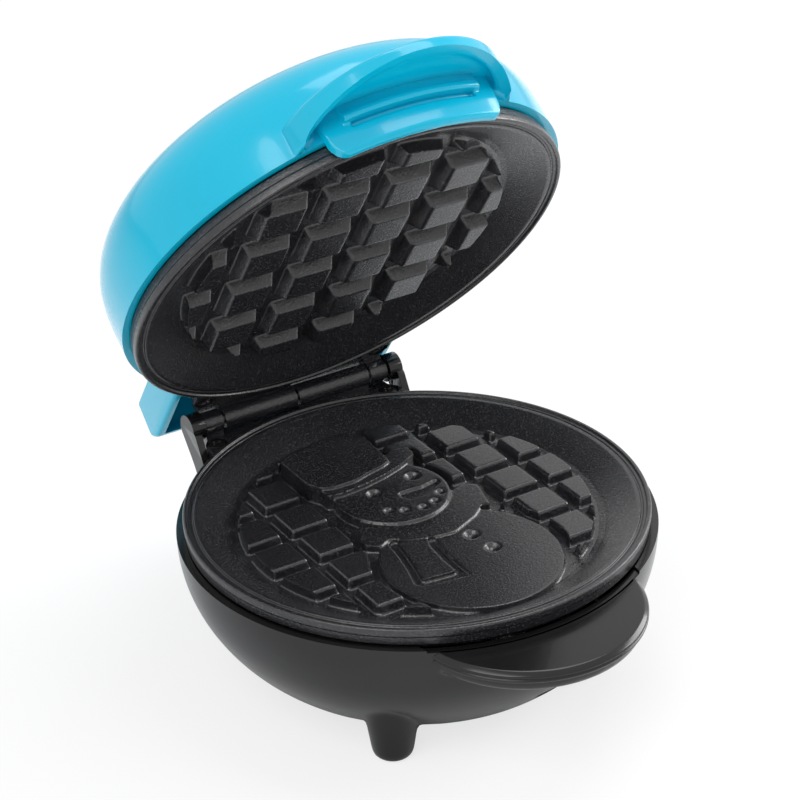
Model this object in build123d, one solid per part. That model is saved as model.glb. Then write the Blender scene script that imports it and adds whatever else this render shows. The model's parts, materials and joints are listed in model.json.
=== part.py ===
"""Mini waffle maker, shown with its lid held half open on the rear hinge.

Every piece is built in millimetres about the centre of the plates: X runs along
the hinge, +Y points to the hinge and Z = 0 is the plane where the plates meet.
Lid pieces are built closed, then turned open about the hinge axis. At the end
everything moves so that the footprint is centred and the feet stand at Z = 0.
"""
import os
from math import ceil, cos, hypot, radians, sin
from build123d import *

# Housing and lid shells
HOUSING_RADIUS = 63.5
WALL = 2.2
RIM_HEIGHT = 7.0
BOWL_STRAIGHT = 0.6
BOWL_SEMI_HEIGHT = 49.0
BOWL_DEPTH = 41.0
LID_RADIUS = 63.2
LID_STRAIGHT = 4.0
LID_HEIGHT = 41.6
LID_SQUARENESS = 3.2
FOOT_HEIGHT = 7.5
FOOT_CONE = 20.5
FOOT_TOP_RADIUS = 8.2
FOOT_TIP_RADIUS = 5.2
FOOT_EDGE = 1.0
FOOT_X = 31.3
FOOT_Y = 36.5

# Cooling slots under the front right of the bowl
VENT_COUNT = 2
VENT_START = 6.0
VENT_STEP = 16.0
VENT_DEPTH = 36.0
VENT_LENGTH = 7.0
VENT_WIDTH = 2.4

# Handles on the front of both shells
HANDLE_RADIUS = 31.5
HANDLE_CENTRE = 49.0
SHELF_THICKNESS = 3.6
SHELF_DROP = 0.6
UNDER_DEPTH = 6.0
UNDER_TAPER = 56.0
VISOR_HEIGHT = 15.5
VISOR_WALL = 2.6
VISOR_EDGE = 3.0
VISOR_ROUNDING = 1.2
TAB_HALF_WIDTH = 24.0
TAB_RADIUS = 65.4
TAB_THICKNESS = 2.4
TAB_REACH = 0.5
GRIP_HEIGHT = 8.7
GRIP_RADIUS = 1.3

# Hinge
OPEN_AT_REST = 54.6
HINGE_REACH = 65.0
BARREL_RADIUS = 3.2
BARREL_HALF = 29.4
SHORT_KNUCKLE = 5.4
KNUCKLE_GAP = 0.8
PIN_RADIUS = 1.5
PIN_CLEARANCE = 0.05
EAR_RADIUS = 4.0
EAR_INNER = 29.9
EAR_OUTER = 34.0
ARM_THICKNESS = 2.1
TAIL_GAP = 0.5
TAIL_REACH = 84.1
TAIL_TOP = 19.8

# Cast plates
PLATE_RADIUS = 61.6
CAVITY_RADIUS = 57.9
LAND = 2.6
PLATE_RIM = 2.2
PLATE_SIDE = 6.6
SKIRT_RADIUS = 59.8
SKIRT_DEPTH = 8.2
CAST_THICKNESS = 3.2
CUBE_TOP = 5.0
LOWER_FLOOR = 7.9
LOWER_FLOOR_RADIUS = 48.0
LOWER_PITCH = 14.3
LOWER_CUBE = 10.5
LOWER_DRAFT = 12.0
LOWER_SHIFT = 1.3
UPPER_FLOOR = 8.8
UPPER_FLOOR_RADIUS = 47.0
UPPER_PITCH = 18.0
UPPER_CUBE = 11.0
UPPER_DRAFT = 24.0
CUBE_INSET = 1.2
CHANNEL = 2.6
LUG_TOP = 3.6
LUG_HALF = 31.5
LUG_SCREW_X = 27.9
LUG_SCREW_Y = 59.2

# Snowman on the lower plate, in steps above its floor
BODY_CENTRE = (0.0, -26.0)
BODY_RADIUS = 23.8
BODY_RISE = 1.6
HEAD_CENTRE = (-1.1, 10.8)
HEAD_RADIUS = 15.6
HEAD_RISE = 3.1
SCARF_RISE = 2.1
BRIM_RISE = 4.5
CROWN_RISE = 5.6
DIMPLE = 0.9
EYE_RADIUS = 2.4
SMILE_RADIUS = 1.6
EYES = [(-5.1, 13.1), (8.3, 15.2)]
SMILE = [(-6.5, 3.4), (-2.8, 1.2), (2.2, -0.1), (6.4, 0.8), (10.0, 4.0)]
BUTTONS = [(6.2, -16.9), (7.3, -25.1)]
NOSE = [(0.3, 9.8), (-0.1, 7.2), (1.5, 4.8), (5.8, 5.0), (12.5, 8.1), (12.8, 10.5), (7.6, 9.4)]
CROWN = [
    (-16.8, 21.7), (-16.1, 19.2), (-14.1, 18.4), (-7.8, 18.4), (-2.2, 20.1), (2.6, 21.1), (5.1, 22.3),
    (5.4, 24.1), (6.6, 36.1), (0.8, 38.1), (-8.1, 39.4), (-17.4, 38.4)]
BRIM = [
    (-17.5, 20.6), (-17.4, 16.4), (-12.5, 15.9), (-5.9, 16.5), (1.3, 18.0), (7.2, 19.9), (11.8, 22.1),
    (13.9, 23.2), (14.4, 27.7), (8.5, 27.7), (0.0, 24.0), (-10.0, 22.0)]
SCARF = [
    (-14.5, 4.5), (-17.7, 0.8), (-20.1, -4.2), (-20.1, -7.2), (-17.0, -9.5), (-13.5, -7.5), (-9.0, -11.0),
    (-2.3, -13.3), (2.9, -13.9), (11.7, -10.1), (16.4, -6.4), (18.3, -7.8), (19.0, -4.5), (21.3, 2.9),
    (18.0, 5.2), (14.0, 4.0)]
SCARF_GROOVE = [
    (-12.4, -8.0), (-14.4, -8.8), (-15.1, -14.8), (-16.8, -22.3), (-18.9, -29.4), (-16.3, -31.2),
    (-4.6, -33.0), (-4.4, -22.8), (-3.6, -15.8), (-1.0, -10.0)]
SCARF_END = [
    (-12.2, -9.5), (-13.0, -14.8), (-14.6, -22.3), (-16.4, -28.6), (-7.0, -29.8), (-6.8, -22.8),
    (-6.0, -15.8), (-3.2, -9.0)]

# Heating parts under each plate
ELEMENT_RADIUS = 33.0
TUBE_RADIUS = 3.2
ELEMENT_GAP_ANGLE = 70.0
COLD_PIN_RADIUS = 1.2
COLD_PIN_LENGTH = 8.0
BOSS_RADIUS = 3.5
BOSS_CIRCLE = 24.0
CLAMP_THICKNESS = 1.0
SPACER_HEIGHT = 3.0
REFLECTOR_RADIUS = 43.0
SHEET = 0.6
THERMOSTAT_RADIUS = 8.0
THERMOSTAT_HEIGHT = 9.0
FIT = 0.1

# Screws
SCREW_RADIUS = 1.5
SCREW_HEAD_RADIUS = 2.7
SCREW_HEAD_HEIGHT = 1.8

# Supply entry and leads
INLET_HALF_WIDTH = 13.0
INLET_REACH = 68.4
INLET_TOP = 14.0
INLET_BOTTOM = 31.0
INLET_CENTRE = 22.5
GLAND_RADIUS = 4.6
CORD_BORE_RADIUS = 3.1
GLAND_FLANGE = 1.6
GLAND_INNER = 57.5
LEAD_RADIUS = 1.2
LAMP_RADIUS = 2.6
LAMP_LENGTH = 11.0
LENS_RADIUS = 4.5
LAMP_Y = -30.0
FUSE_Y = -34.0


def tube(r_out, r_in, z_low, z_high, x=0.0, y=0.0):
    """Upright ring between two heights."""
    middle = (z_low + z_high) / 2
    body = Pos(x, y, middle) * Cylinder(r_out, z_high - z_low)
    if r_in > 0:
        body -= Pos(x, y, middle) * Cylinder(r_in, z_high - z_low + 1)
    return body


def rod(radius, z_low, z_high, x=0.0, y=0.0):
    """Upright cylinder between two heights."""
    return tube(radius, 0, z_low, z_high, x, y)


def block(x_low, x_high, y_low, y_high, z_low, z_high):
    """Box given by its limits on each axis."""
    size = (x_high - x_low, y_high - y_low, z_high - z_low)
    place = Pos((x_low + x_high) / 2, (y_low + y_high) / 2, (z_low + z_high) / 2)
    return place * Box(*size)


def rod_along_x(radius, x_low, x_high, y, z):
    """Cylinder lying along the hinge direction."""
    place = Pos((x_low + x_high) / 2, y, z) * Rot(0, 90, 0)
    return place * Cylinder(radius, x_high - x_low)


def rod_along_y(radius, y_low, y_high, x, z):
    """Cylinder lying front to back."""
    place = Pos(x, (y_low + y_high) / 2, z) * Rot(90, 0, 0)
    return place * Cylinder(radius, y_high - y_low)


def turned(points):
    """Solid of revolution about Z from a closed outline of (radius, height) points."""
    return revolve(Plane.XZ * make_face(Polyline(*points, close=True)), Axis.Z)


def side_slab(points, x_low, x_high):
    """Prism along X from a closed outline of (y, z) points."""
    outline = make_face(Polyline(*points, close=True))
    return Pos(x_low, 0, 0) * extrude(Plane.YZ * outline, x_high - x_low)


def flip(shape):
    """Turn a piece made for the base upside down into its place in the lid."""
    return Rot(0, 180, 0) * shape


def both_sides(shape):
    """A piece on the right with its mirror image on the left."""
    return shape + mirror(shape, Plane.YZ)


def lead(points, bend):
    """Insulated wire swept along straight runs joined by arcs."""
    path = FilletPolyline(*points, radius=bend)
    section = Plane(path @ 0, z_dir=path % 0) * Circle(LEAD_RADIUS)
    return sweep(section, path=path)


def bowl(inset, z_high):
    """Solid of the base's outer form, drawn in by an inset."""
    centre = -(RIM_HEIGHT + BOWL_STRAIGHT)
    radius = HOUSING_RADIUS - inset
    depth = BOWL_DEPTH - inset
    oval = Pos(0, centre) * Ellipse(radius, BOWL_SEMI_HEIGHT - inset)
    lower = Pos(radius / 2, (centre - depth) / 2) * Rectangle(radius, depth + centre)
    upper = Pos(radius / 2, (centre + z_high) / 2) * Rectangle(radius, z_high - centre)
    return revolve(Plane.XZ * ((oval & lower) + upper), Axis.Z)


def dome(inset, z_low):
    """Solid of the lid's outer form, drawn in by an inset."""
    radius = LID_RADIUS - inset
    height = LID_HEIGHT - inset
    shoulder = RIM_HEIGHT + LID_STRAIGHT
    power = 2 / LID_SQUARENESS
    angles = [radians(angle) for angle in (0, 24, 40, 54, 67, 79, 90)]
    points = [(radius * abs(cos(a)) ** power, shoulder + (height - shoulder) * sin(a) ** power) for a in angles]
    points[-1] = (0, height)
    curve = Spline(*points, tangents=((0, 1), (-1, 0)))
    walls = Polyline((0, height), (0, z_low), (radius, z_low), (radius, shoulder))
    return revolve(Plane.XZ * make_face([curve, *walls.edges()]), Axis.Z)


def foot_places():
    """Centres of the four feet, evenly spaced on one circle."""
    return [(-FOOT_X, -FOOT_Y), (FOOT_Y, -FOOT_X), (FOOT_X, FOOT_Y), (-FOOT_Y, FOOT_X)]


def boss_places():
    """Centres of the three bosses that carry the clamp and reflector."""
    angles = (30, 150, 270)
    return [(BOSS_CIRCLE * cos(radians(a)), BOSS_CIRCLE * sin(radians(a))) for a in angles]


def cast_underside(floor):
    """Depth of the flat underside of a plate."""
    return floor + CAST_THICKNESS


def base_housing():
    """Black bowl with feet, handle shelf, hinge arms, screw posts and supply boss."""
    rim = -RIM_HEIGHT
    inner = bowl(WALL, rim + 5)
    shelf_top = rim - SHELF_DROP
    shelf = Pos(0, -HANDLE_CENTRE, shelf_top - SHELF_THICKNESS / 2) * Cylinder(HANDLE_RADIUS, SHELF_THICKNESS)
    shelf = fillet(shelf.edges().filter_by(GeomType.CIRCLE), SHELF_THICKNESS * 0.3)
    under = Pos(0, -HANDLE_CENTRE, shelf_top - SHELF_THICKNESS) * Circle(HANDLE_RADIUS - 3)
    shelf += extrude(under, -UNDER_DEPTH, taper=UNDER_TAPER)
    bridge = side_slab(
        [(46, rim - 0.2), (62.6, rim - 0.2), (59.6, -13.6), (54, -24), (46, -24)], -EAR_OUTER, EAR_OUTER)
    arm_outline = [(60.6, 0), (69, 0), (68.4, -2), (62.6, -9), (59.6, -13.6), (52, -13.6), (56.4, rim)]
    arm = side_slab(arm_outline, EAR_OUTER - ARM_THICKNESS, EAR_OUTER)
    arm += rod_along_x(EAR_RADIUS, EAR_INNER, EAR_OUTER, HINGE_REACH, 0)
    arm -= rod_along_x(PIN_RADIUS + PIN_CLEARANCE, EAR_INNER - 1, EAR_INNER + 2, HINGE_REACH, 0)
    boss = rod(3.6, -15, rim - 0.2, LUG_SCREW_X, LUG_SCREW_Y)
    inlet = block(-INLET_HALF_WIDTH, INLET_HALF_WIDTH, 50, INLET_REACH, -INLET_BOTTOM, -INLET_TOP)
    inlet = fillet(inlet.edges().filter_by(Axis.Y), 4)
    outer = bowl(0, rim) + shelf + bridge + both_sides(arm + boss) + inlet
    front_notch = Pos(0, -HANDLE_CENTRE, shelf_top + 10) * Cylinder(HANDLE_RADIUS + 1, 20)
    housing = outer - inner - front_notch
    for x, y in foot_places():
        foot = Pos(x, y, -BOWL_DEPTH - FOOT_HEIGHT) * Cone(
            FOOT_TIP_RADIUS, FOOT_TOP_RADIUS, FOOT_CONE, align=(Align.CENTER, Align.CENTER, Align.MIN))
        foot = fillet(foot.edges().sort_by(Axis.Z)[0], FOOT_EDGE)
        housing += foot - bowl(WALL / 2, rim)
        housing += rod(4.0, -BOWL_DEPTH + 1, -POST_TOP, x, y)
    for x, y in foot_places():
        housing -= rod(SCREW_RADIUS + 0.2, -BOWL_DEPTH, 0, x, y)
        housing -= rod(SCREW_HEAD_RADIUS + 0.3, -BOWL_DEPTH - FOOT_HEIGHT - 1, -FOOT_SEAT, x, y)
    housing -= both_sides(rod(SCREW_RADIUS, -LUG_SCREW_END - 0.5, 0, LUG_SCREW_X, LUG_SCREW_Y))
    housing -= rod_along_y(GLAND_RADIUS, 40, INLET_REACH + 1, 0, -INLET_CENTRE)
    housing -= vent_slots()
    return housing


def vent_slots():
    """Cooling slots low on the front right of the bowl, cut through it."""
    slots = None
    for number in range(VENT_COUNT):
        angle = -90 + VENT_START + number * VENT_STEP
        slot = Pos(0, 0, -VENT_DEPTH) * Rot(0, 0, angle) * Pos(HOUSING_RADIUS - 10, 0, 0) * Rot(0, 40, 0)
        cut = slot * Box(16, VENT_LENGTH, VENT_WIDTH)
        slots = cut if slots is None else slots + cut
    return slots


def lid_cover():
    """Glossy lid shell with visor handle, grip tab and the tail behind the hinge."""
    rim = RIM_HEIGHT
    shell = dome(0, rim)
    inner = dome(WALL, rim - 5)
    visor = Pos(0, -HANDLE_CENTRE, (rim + VISOR_HEIGHT) / 2) * Cylinder(HANDLE_RADIUS, VISOR_HEIGHT - rim)
    visor = fillet(visor.edges().sort_by(Axis.Z)[-1], VISOR_ROUNDING)
    hollow = Pos(0, -HANDLE_CENTRE, (rim + VISOR_HEIGHT - VISOR_WALL) / 2 - 1) * Cylinder(
        HANDLE_RADIUS - VISOR_WALL, VISOR_HEIGHT - VISOR_WALL - rim + 2)
    arch_rise = VISOR_HEIGHT - VISOR_EDGE - rim
    arch = Pos(0, -HANDLE_CENTRE, rim) * Rot(90, 0, 0) * extrude(
        Ellipse(HANDLE_RADIUS * 0.93, arch_rise), HANDLE_RADIUS + 5)
    visor -= hollow - dome(0, rim)
    visor -= arch - dome(0, rim - 2 * arch_rise)
    tail = tail_shell()
    tab = tube(TAB_RADIUS, TAB_RADIUS - TAB_THICKNESS, TAB_REACH, VISOR_HEIGHT - VISOR_WALL)
    tab &= block(-TAB_HALF_WIDTH, TAB_HALF_WIDTH, -80, 0, 0, 30)
    tab -= tab_corners()
    grip = Pos(0, 0, GRIP_HEIGHT) * Torus(TAB_RADIUS + 0.4, GRIP_RADIUS)
    grip &= block(-TAB_HALF_WIDTH + 5, TAB_HALF_WIDTH - 5, -80, 0, 0, 30)
    boss = rod(3.6, rim + 0.2, LUG_SCREW_END + 2, LUG_SCREW_X, LUG_SCREW_Y)
    cover = shell + visor + tab + grip
    cover = cover - inner
    cover += tail + both_sides(boss)
    cover += lid_hooks()
    cover -= both_sides(rod(SCREW_RADIUS, 0, LUG_SCREW_END + 0.5, LUG_SCREW_X, LUG_SCREW_Y))
    cover -= rod(LENS_RADIUS + FIT, 30, 50, 0, LAMP_Y)
    cover -= block(-12, 12, 50, 66, 11, 16)
    return cover


def tail_shell():
    """Open-bottomed box that carries the lid's outline on behind the hinge."""
    half = EAR_OUTER + TAIL_GAP + WALL
    low = RIM_HEIGHT - 0.2
    outline = [(46, low), (TAIL_REACH - 3.7, low), (TAIL_REACH, low + 2.4), (TAIL_REACH - 1.9, TAIL_TOP), (46, TAIL_TOP)]
    box = side_slab(outline, -half, half)
    corners = box.edges().filter_by(Axis.X).sort_by(Axis.Y)[-3:]
    box = fillet(corners, 0.9)
    room = side_slab(
        [(30, low - 1), (TAIL_REACH - 5.6, low - 1), (TAIL_REACH - 2.6, low + 4),
         (TAIL_REACH - 4.1, TAIL_TOP - WALL), (30, TAIL_TOP - WALL)], -half + WALL, half - WALL)
    return box - room - dome(WALL / 2, 0)


def tab_corners():
    """Waste cut from the lower corners of the grip tab to round them."""
    size = 5.0
    low = TAB_REACH
    square = block(TAB_HALF_WIDTH - size, TAB_HALF_WIDTH + 1, -80, -40, low - 1, low + size)
    round_part = rod_along_y(size, -81, -39, TAB_HALF_WIDTH - size, low + size)
    return both_sides(square - round_part)


def lid_hooks():
    """Moulded hooks that hold the front of the upper plate in the lid."""
    hooks = None
    for angle in (-125, -55):
        reach = SKIRT_RADIUS - 2.2
        hook = Rot(0, 0, angle) * block(reach, LID_RADIUS - WALL / 2, -3, 3, SKIRT_DEPTH + 1.1, SKIRT_DEPTH + 3.1)
        hooks = hook if hooks is None else hooks + hook
    return hooks


def cast_plate(floor, floor_radius, blocks):
    """Cast cooking plate with its blocks, hinge lug and knuckles, open side up."""
    under = cast_underside(floor)
    profile = [
        (0, -floor), (floor_radius, -floor), (floor_radius + 1.5, -floor + 0.5), (CAVITY_RADIUS, -LAND),
        (CAVITY_RADIUS + 0.8, -LAND), (CAVITY_RADIUS + 1.0, -LAND - 0.6), (CAVITY_RADIUS + 1.5, -LAND - 0.6),
        (CAVITY_RADIUS + 1.6, -LAND - 0.3), (PLATE_RADIUS - 1.3, -LAND - 0.3), (PLATE_RADIUS - 1.1, -PLATE_RIM),
        (PLATE_RADIUS - 0.2, -PLATE_RIM), (PLATE_RADIUS, -PLATE_RIM - 0.2), (PLATE_RADIUS, -PLATE_RIM - 2.0),
        (PLATE_RADIUS - 0.3, -PLATE_RIM - 2.2), (PLATE_RADIUS - 0.3, -PLATE_SIDE), (SKIRT_RADIUS, -PLATE_SIDE),
        (SKIRT_RADIUS, -SKIRT_DEPTH), (floor_radius + 2.5, -under), (0, -under)]
    plate = turned(profile) + hinge_lug() + blocks
    for x, y in boss_places():
        plate += rod(BOSS_RADIUS, -element_seat(floor), -under + 1, x, y)
        plate -= rod(SCREW_RADIUS, -element_seat(floor) - 1, -under, x, y)
    return plate


def element_seat(floor):
    """Depth of the element's far side, where the clamp lies."""
    return cast_underside(floor) + 2 * TUBE_RADIUS + 2 * FIT


def hinge_lug():
    """Rear lug with its two knuckles: short on the left, long on the right."""
    outline = [
        (-33, 46), (-LUG_HALF, 56), (-LUG_HALF, 59.5), (-BARREL_HALF, 62), (-BARREL_HALF, HINGE_REACH + 0.8),
        (BARREL_HALF, HINGE_REACH + 0.8), (BARREL_HALF, 62), (LUG_HALF, 59.5), (LUG_HALF, 56), (33, 46)]
    flat = extrude(Pos(0, 0, -PLATE_SIDE) * make_face(Polyline(*outline, close=True)), PLATE_SIDE - LUG_TOP)
    flat -= rod(CAVITY_RADIUS, -20, 0)
    lug = flat
    for x_low, x_high in lower_knuckles():
        lug += rod_along_x(BARREL_RADIUS, x_low, x_high, HINGE_REACH, 0)
        lug += block(x_low, x_high, HINGE_REACH - 2.4, HINGE_REACH + 0.8, -LUG_TOP - 0.5, -1.5)
    reach = BARREL_HALF + 1
    lug -= rod_along_x(PIN_RADIUS + PIN_CLEARANCE, -reach, reach, HINGE_REACH, 0)
    lug -= both_sides(rod(SCREW_RADIUS + 0.2, -20, 0, LUG_SCREW_X, LUG_SCREW_Y))
    seat = -LUG_TOP - SCREW_HEAD_HEIGHT - FIT
    lug -= both_sides(rod(SCREW_HEAD_RADIUS + 0.2, seat, 0, LUG_SCREW_X, LUG_SCREW_Y))
    return lug


def lower_knuckles():
    """X limits of the two knuckles on the lower plate."""
    long_start = KNUCKLE_GAP / 2
    long_end = BARREL_HALF - SHORT_KNUCKLE - KNUCKLE_GAP
    return [(-BARREL_HALF, -BARREL_HALF + SHORT_KNUCKLE), (long_start, long_end)]


def waffle_blocks(floor, pitch, width, draft, start, clip_radius):
    """Waffle blocks on a square grid that starts at a point, clipped to the floor."""
    height = floor - CUBE_TOP
    spread = height * sin(radians(draft)) / cos(radians(draft))
    foot = width + 2 * spread
    reach = ceil(clip_radius / pitch)
    single = extrude(Rectangle(foot, foot), height, taper=draft)
    whole = None
    for column in range(-reach, reach + 1):
        for row in range(-reach, reach + 1):
            x = start[0] + column * pitch
            y = start[1] + row * pitch
            corner = hypot(max(abs(x) - foot / 2, 0), max(abs(y) - foot / 2, 0))
            if corner > clip_radius - 0.4:
                continue
            cube = Pos(x, y, -floor) * single
            whole = cube if whole is None else whole + cube
    return whole & rod(clip_radius, -floor, 0)


def lower_relief():
    """Blocks of the lower plate, cleared round the snowman, with the snowman itself."""
    height = LOWER_FLOOR - CUBE_TOP
    clip = LOWER_FLOOR_RADIUS - CUBE_INSET
    blocks = waffle_blocks(LOWER_FLOOR, LOWER_PITCH, LOWER_CUBE, LOWER_DRAFT, (LOWER_SHIFT, 0), clip)
    for outline, _ in snowman_steps():
        blocks -= Pos(0, 0, -LOWER_FLOOR) * extrude(offset(outline, amount=CHANNEL), height + 1)
    return blocks + snowman_relief(LOWER_FLOOR)


def upper_relief():
    """Blocks of the upper plate, on a grid set half a pitch off its centre."""
    clip = UPPER_FLOOR_RADIUS - CUBE_INSET
    start = (UPPER_PITCH / 2, UPPER_PITCH / 2)
    return waffle_blocks(UPPER_FLOOR, UPPER_PITCH, UPPER_CUBE, UPPER_DRAFT, start, clip)


def snowman_steps():
    """Flat outlines of the snowman's parts, each with its height above the floor."""
    return [
        (Pos(*BODY_CENTRE) * Circle(BODY_RADIUS), BODY_RISE), (flat(SCARF), SCARF_RISE),
        (Pos(*HEAD_CENTRE) * Circle(HEAD_RADIUS), HEAD_RISE), (flat(BRIM), BRIM_RISE), (flat(CROWN), CROWN_RISE)]


def flat(corners):
    """Filled flat outline from its corners."""
    return make_face(Polyline(*corners, close=True))


def snowman_relief(floor):
    """Raised snowman that steps up from body to hat, with dimples, a nose and a scarf end."""
    base = Pos(0, 0, -floor)
    steps = [base * extrude(outline, rise) for outline, rise in snowman_steps()]
    face, front = HEAD_RISE - floor, BODY_RISE - floor
    figure = steps[0]
    groove = Pos(0, 0, front - DIMPLE) * extrude(flat(SCARF_GROOVE), DIMPLE + 1)
    figure -= groove
    figure += base * extrude(flat(SCARF_END), BODY_RISE + DIMPLE / 2)
    for step in steps[1:]:
        figure += step
    for x, y in EYES:
        figure -= Pos(x, y, face + EYE_RADIUS * 0.4) * Sphere(EYE_RADIUS)
    for x, y in BUTTONS:
        figure -= Pos(x, y, front + EYE_RADIUS * 0.4) * Sphere(EYE_RADIUS)
    for x, y in SMILE:
        figure -= Pos(x, y, face + SMILE_RADIUS * 0.4) * Sphere(SMILE_RADIUS)
    figure -= Pos(0, 0, face - DIMPLE) * extrude(flat(NOSE), DIMPLE + 1)
    return figure


def heating_element(floor):
    """Tubular heater loop below a plate, with a cold pin at each end."""
    depth = -(cast_underside(floor) + TUBE_RADIUS + FIT)
    half_gap = ELEMENT_GAP_ANGLE / 2
    section = Plane.XZ * Pos(ELEMENT_RADIUS, depth) * Circle(TUBE_RADIUS)
    loop = revolve(Rot(0, 0, 90 + half_gap) * section, Axis.Z, revolution_arc=360 - ELEMENT_GAP_ANGLE)
    for side in (-1, 1):
        x, y = element_end(side)
        pin = Pos(x, y, depth) * Rot(0, 0, pin_heading(side)) * Rot(0, 90, 0) * Cylinder(
            COLD_PIN_RADIUS, COLD_PIN_LENGTH, align=(Align.CENTER, Align.CENTER, Align.MIN))
        loop += pin
    return loop


def element_end(side):
    """End of the heater loop on one side of the gap."""
    angle = radians(90 - side * ELEMENT_GAP_ANGLE / 2)
    return ELEMENT_RADIUS * cos(angle), ELEMENT_RADIUS * sin(angle)


def pin_heading(side):
    """Direction in degrees in which a cold pin leaves the loop."""
    return 90 + side * (90 - ELEMENT_GAP_ANGLE / 2)


def pin_tip(side):
    """Free end of a cold pin."""
    x, y = element_end(side)
    angle = radians(pin_heading(side))
    return x + COLD_PIN_LENGTH * cos(angle), y + COLD_PIN_LENGTH * sin(angle)


def element_clamp(floor):
    """Pressed ring that holds the heater loop against the plate."""
    top = -element_seat(floor)
    ring = tube(ELEMENT_RADIUS + TUBE_RADIUS, BOSS_CIRCLE - BOSS_RADIUS, top - CLAMP_THICKNESS, top)
    ring -= block(-16, 16, BOSS_CIRCLE - 2, 60, top - 5, top + 1)
    return drilled(ring)


def drilled(sheet):
    """The same piece with a clearance hole at each boss."""
    for x, y in boss_places():
        sheet -= rod(SCREW_RADIUS + 0.2, -60, 60, x, y)
    return sheet


def reflector_top(floor):
    """Depth at which the reflector sheet starts."""
    return element_seat(floor) + CLAMP_THICKNESS + SPACER_HEIGHT


def reflector_spacers(floor):
    """Short sleeves between the clamp ring and the reflector."""
    high = -element_seat(floor) - CLAMP_THICKNESS
    return [tube(BOSS_RADIUS, SCREW_RADIUS + 0.2, high - SPACER_HEIGHT, high, x, y) for x, y in boss_places()]


def reflector(floor):
    """Bright dished sheet that throws the heat back at the plate."""
    top = -reflector_top(floor)
    sheet = tube(REFLECTOR_RADIUS, THERMOSTAT_RADIUS + 4, top - SHEET, top)
    lip = turned([
        (REFLECTOR_RADIUS - SHEET, top), (REFLECTOR_RADIUS + 1.4, top + 4),
        (REFLECTOR_RADIUS + 2, top + 4), (REFLECTOR_RADIUS, top - SHEET), (REFLECTOR_RADIUS - SHEET, top - SHEET)])
    sheet += lip
    for x, y in foot_places():
        sheet -= rod(5.2, -60, 60, x, y)
    sheet -= block(-16, 16, BOSS_CIRCLE + 2, 60, top - 5, top + 8)
    return drilled(sheet)


def screw(length, x, y, head_z, down=True):
    """Cross-recess screw: head on top at head_z, shank along Z."""
    head = Pos(0, 0, -SCREW_HEAD_HEIGHT / 2) * Cylinder(SCREW_HEAD_RADIUS, SCREW_HEAD_HEIGHT)
    head = fillet(head.edges().sort_by(Axis.Z)[-1], 0.5)
    for turn in (0, 90):
        head -= Rot(0, 0, turn) * Pos(0, 0, -0.4) * Box(3.0, 0.7, 1.0)
    shank = rod(SCREW_RADIUS - FIT, -length, -SCREW_HEAD_HEIGHT)
    body = head + shank
    if not down:
        body = Rot(180, 0, 0) * body
    return Pos(x, y, head_z) * body


def stack_screws(floor):
    """Screws that hold clamp, spacers and reflector to a plate."""
    head = -(reflector_top(floor) + SHEET + SCREW_HEAD_HEIGHT)
    length = -head - cast_underside(floor) - 1.0
    return [screw(length, x, y, head, down=False) for x, y in boss_places()]


def lug_screws():
    """Screws through the rear lug of the lower plate into the housing."""
    top = -LUG_TOP - FIT
    return [screw(LUG_SCREW_END - LUG_TOP, s * LUG_SCREW_X, LUG_SCREW_Y, top) for s in (-1, 1)]


def foot_screws():
    """Screws that come up through the feet into the lower plate."""
    head = -FOOT_SEAT - SCREW_HEAD_HEIGHT
    length = -head - cast_underside(LOWER_FLOOR)
    return [screw(length, x, y, head, down=False) for x, y in foot_places()]


def thermostat():
    """Disc thermostat under the middle of the lower plate, with two blade terminals."""
    top = -cast_underside(LOWER_FLOOR) - FIT
    body = rod(THERMOSTAT_RADIUS, top - THERMOSTAT_HEIGHT, top)
    for side in (-1, 1):
        x = side * 4
        body += block(x - 0.4, x + 0.4, -3, 3, top - THERMOSTAT_HEIGHT - 7, top - THERMOSTAT_HEIGHT)
    return body


def thermostat_clip():
    """Spring strap that presses the thermostat on, hooked between two of the bosses."""
    top = -cast_underside(LOWER_FLOOR) - FIT - 2.0
    strap = tube(THERMOSTAT_RADIUS + 2.2, THERMOSTAT_RADIUS + FIT, top - 3, top)
    ears = both_sides(block(THERMOSTAT_RADIUS + 1.5, 15.5, -3, 3, top - 1, top))
    ears -= both_sides(rod(SCREW_RADIUS + 0.1, top - 5, top + 5, 13, 0))
    return strap + ears


def thermostat_screws():
    """Small screws that hold the strap to the plate."""
    seat = cast_underside(LOWER_FLOOR) + FIT + 3.0
    head = -(seat + SCREW_HEAD_HEIGHT)
    return [screw(SCREW_HEAD_HEIGHT + 3.0, s * 13, 0, head, down=False) for s in (-1, 1)]


def thermal_fuse():
    """One-shot thermal fuse in its sleeve below the reflector."""
    z = -(reflector_top(LOWER_FLOOR) + SHEET + 3.2)
    return rod_along_x(2.6, -9, 9, FUSE_Y, z) + rod_along_x(0.8, -14, 14, FUSE_Y, z)


def fuse_clip():
    """Clip that holds the fuse sleeve on the reflector."""
    z = -(reflector_top(LOWER_FLOOR) + SHEET + 3.2)
    saddle = rod_along_x(3.2, -3, 3, FUSE_Y, z) + block(-3, 3, FUSE_Y - 3.2, FUSE_Y + 3.2, z, z + 3.2)
    return saddle - rod_along_x(2.6 + FIT / 2, -4, 4, FUSE_Y, z)


def terminal_block():
    """Ceramic connector block on the floor of the bowl."""
    floor = -BOWL_DEPTH + WALL
    body = block(-12, 12, 24, 38, floor, floor + 10)
    for side in (-1, 1):
        body -= rod(2.0, floor + 6, floor + 20, side * 6, 31)
    return body


def terminal_screws():
    """Brass clamping screws of the connector block."""
    floor = -BOWL_DEPTH + WALL
    return [rod(1.9, floor + 6, floor + 9, side * 6, 31) - Pos(side * 6, 31, floor + 9) * Box(5, 0.6, 1.2)
            for side in (-1, 1)]


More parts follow.
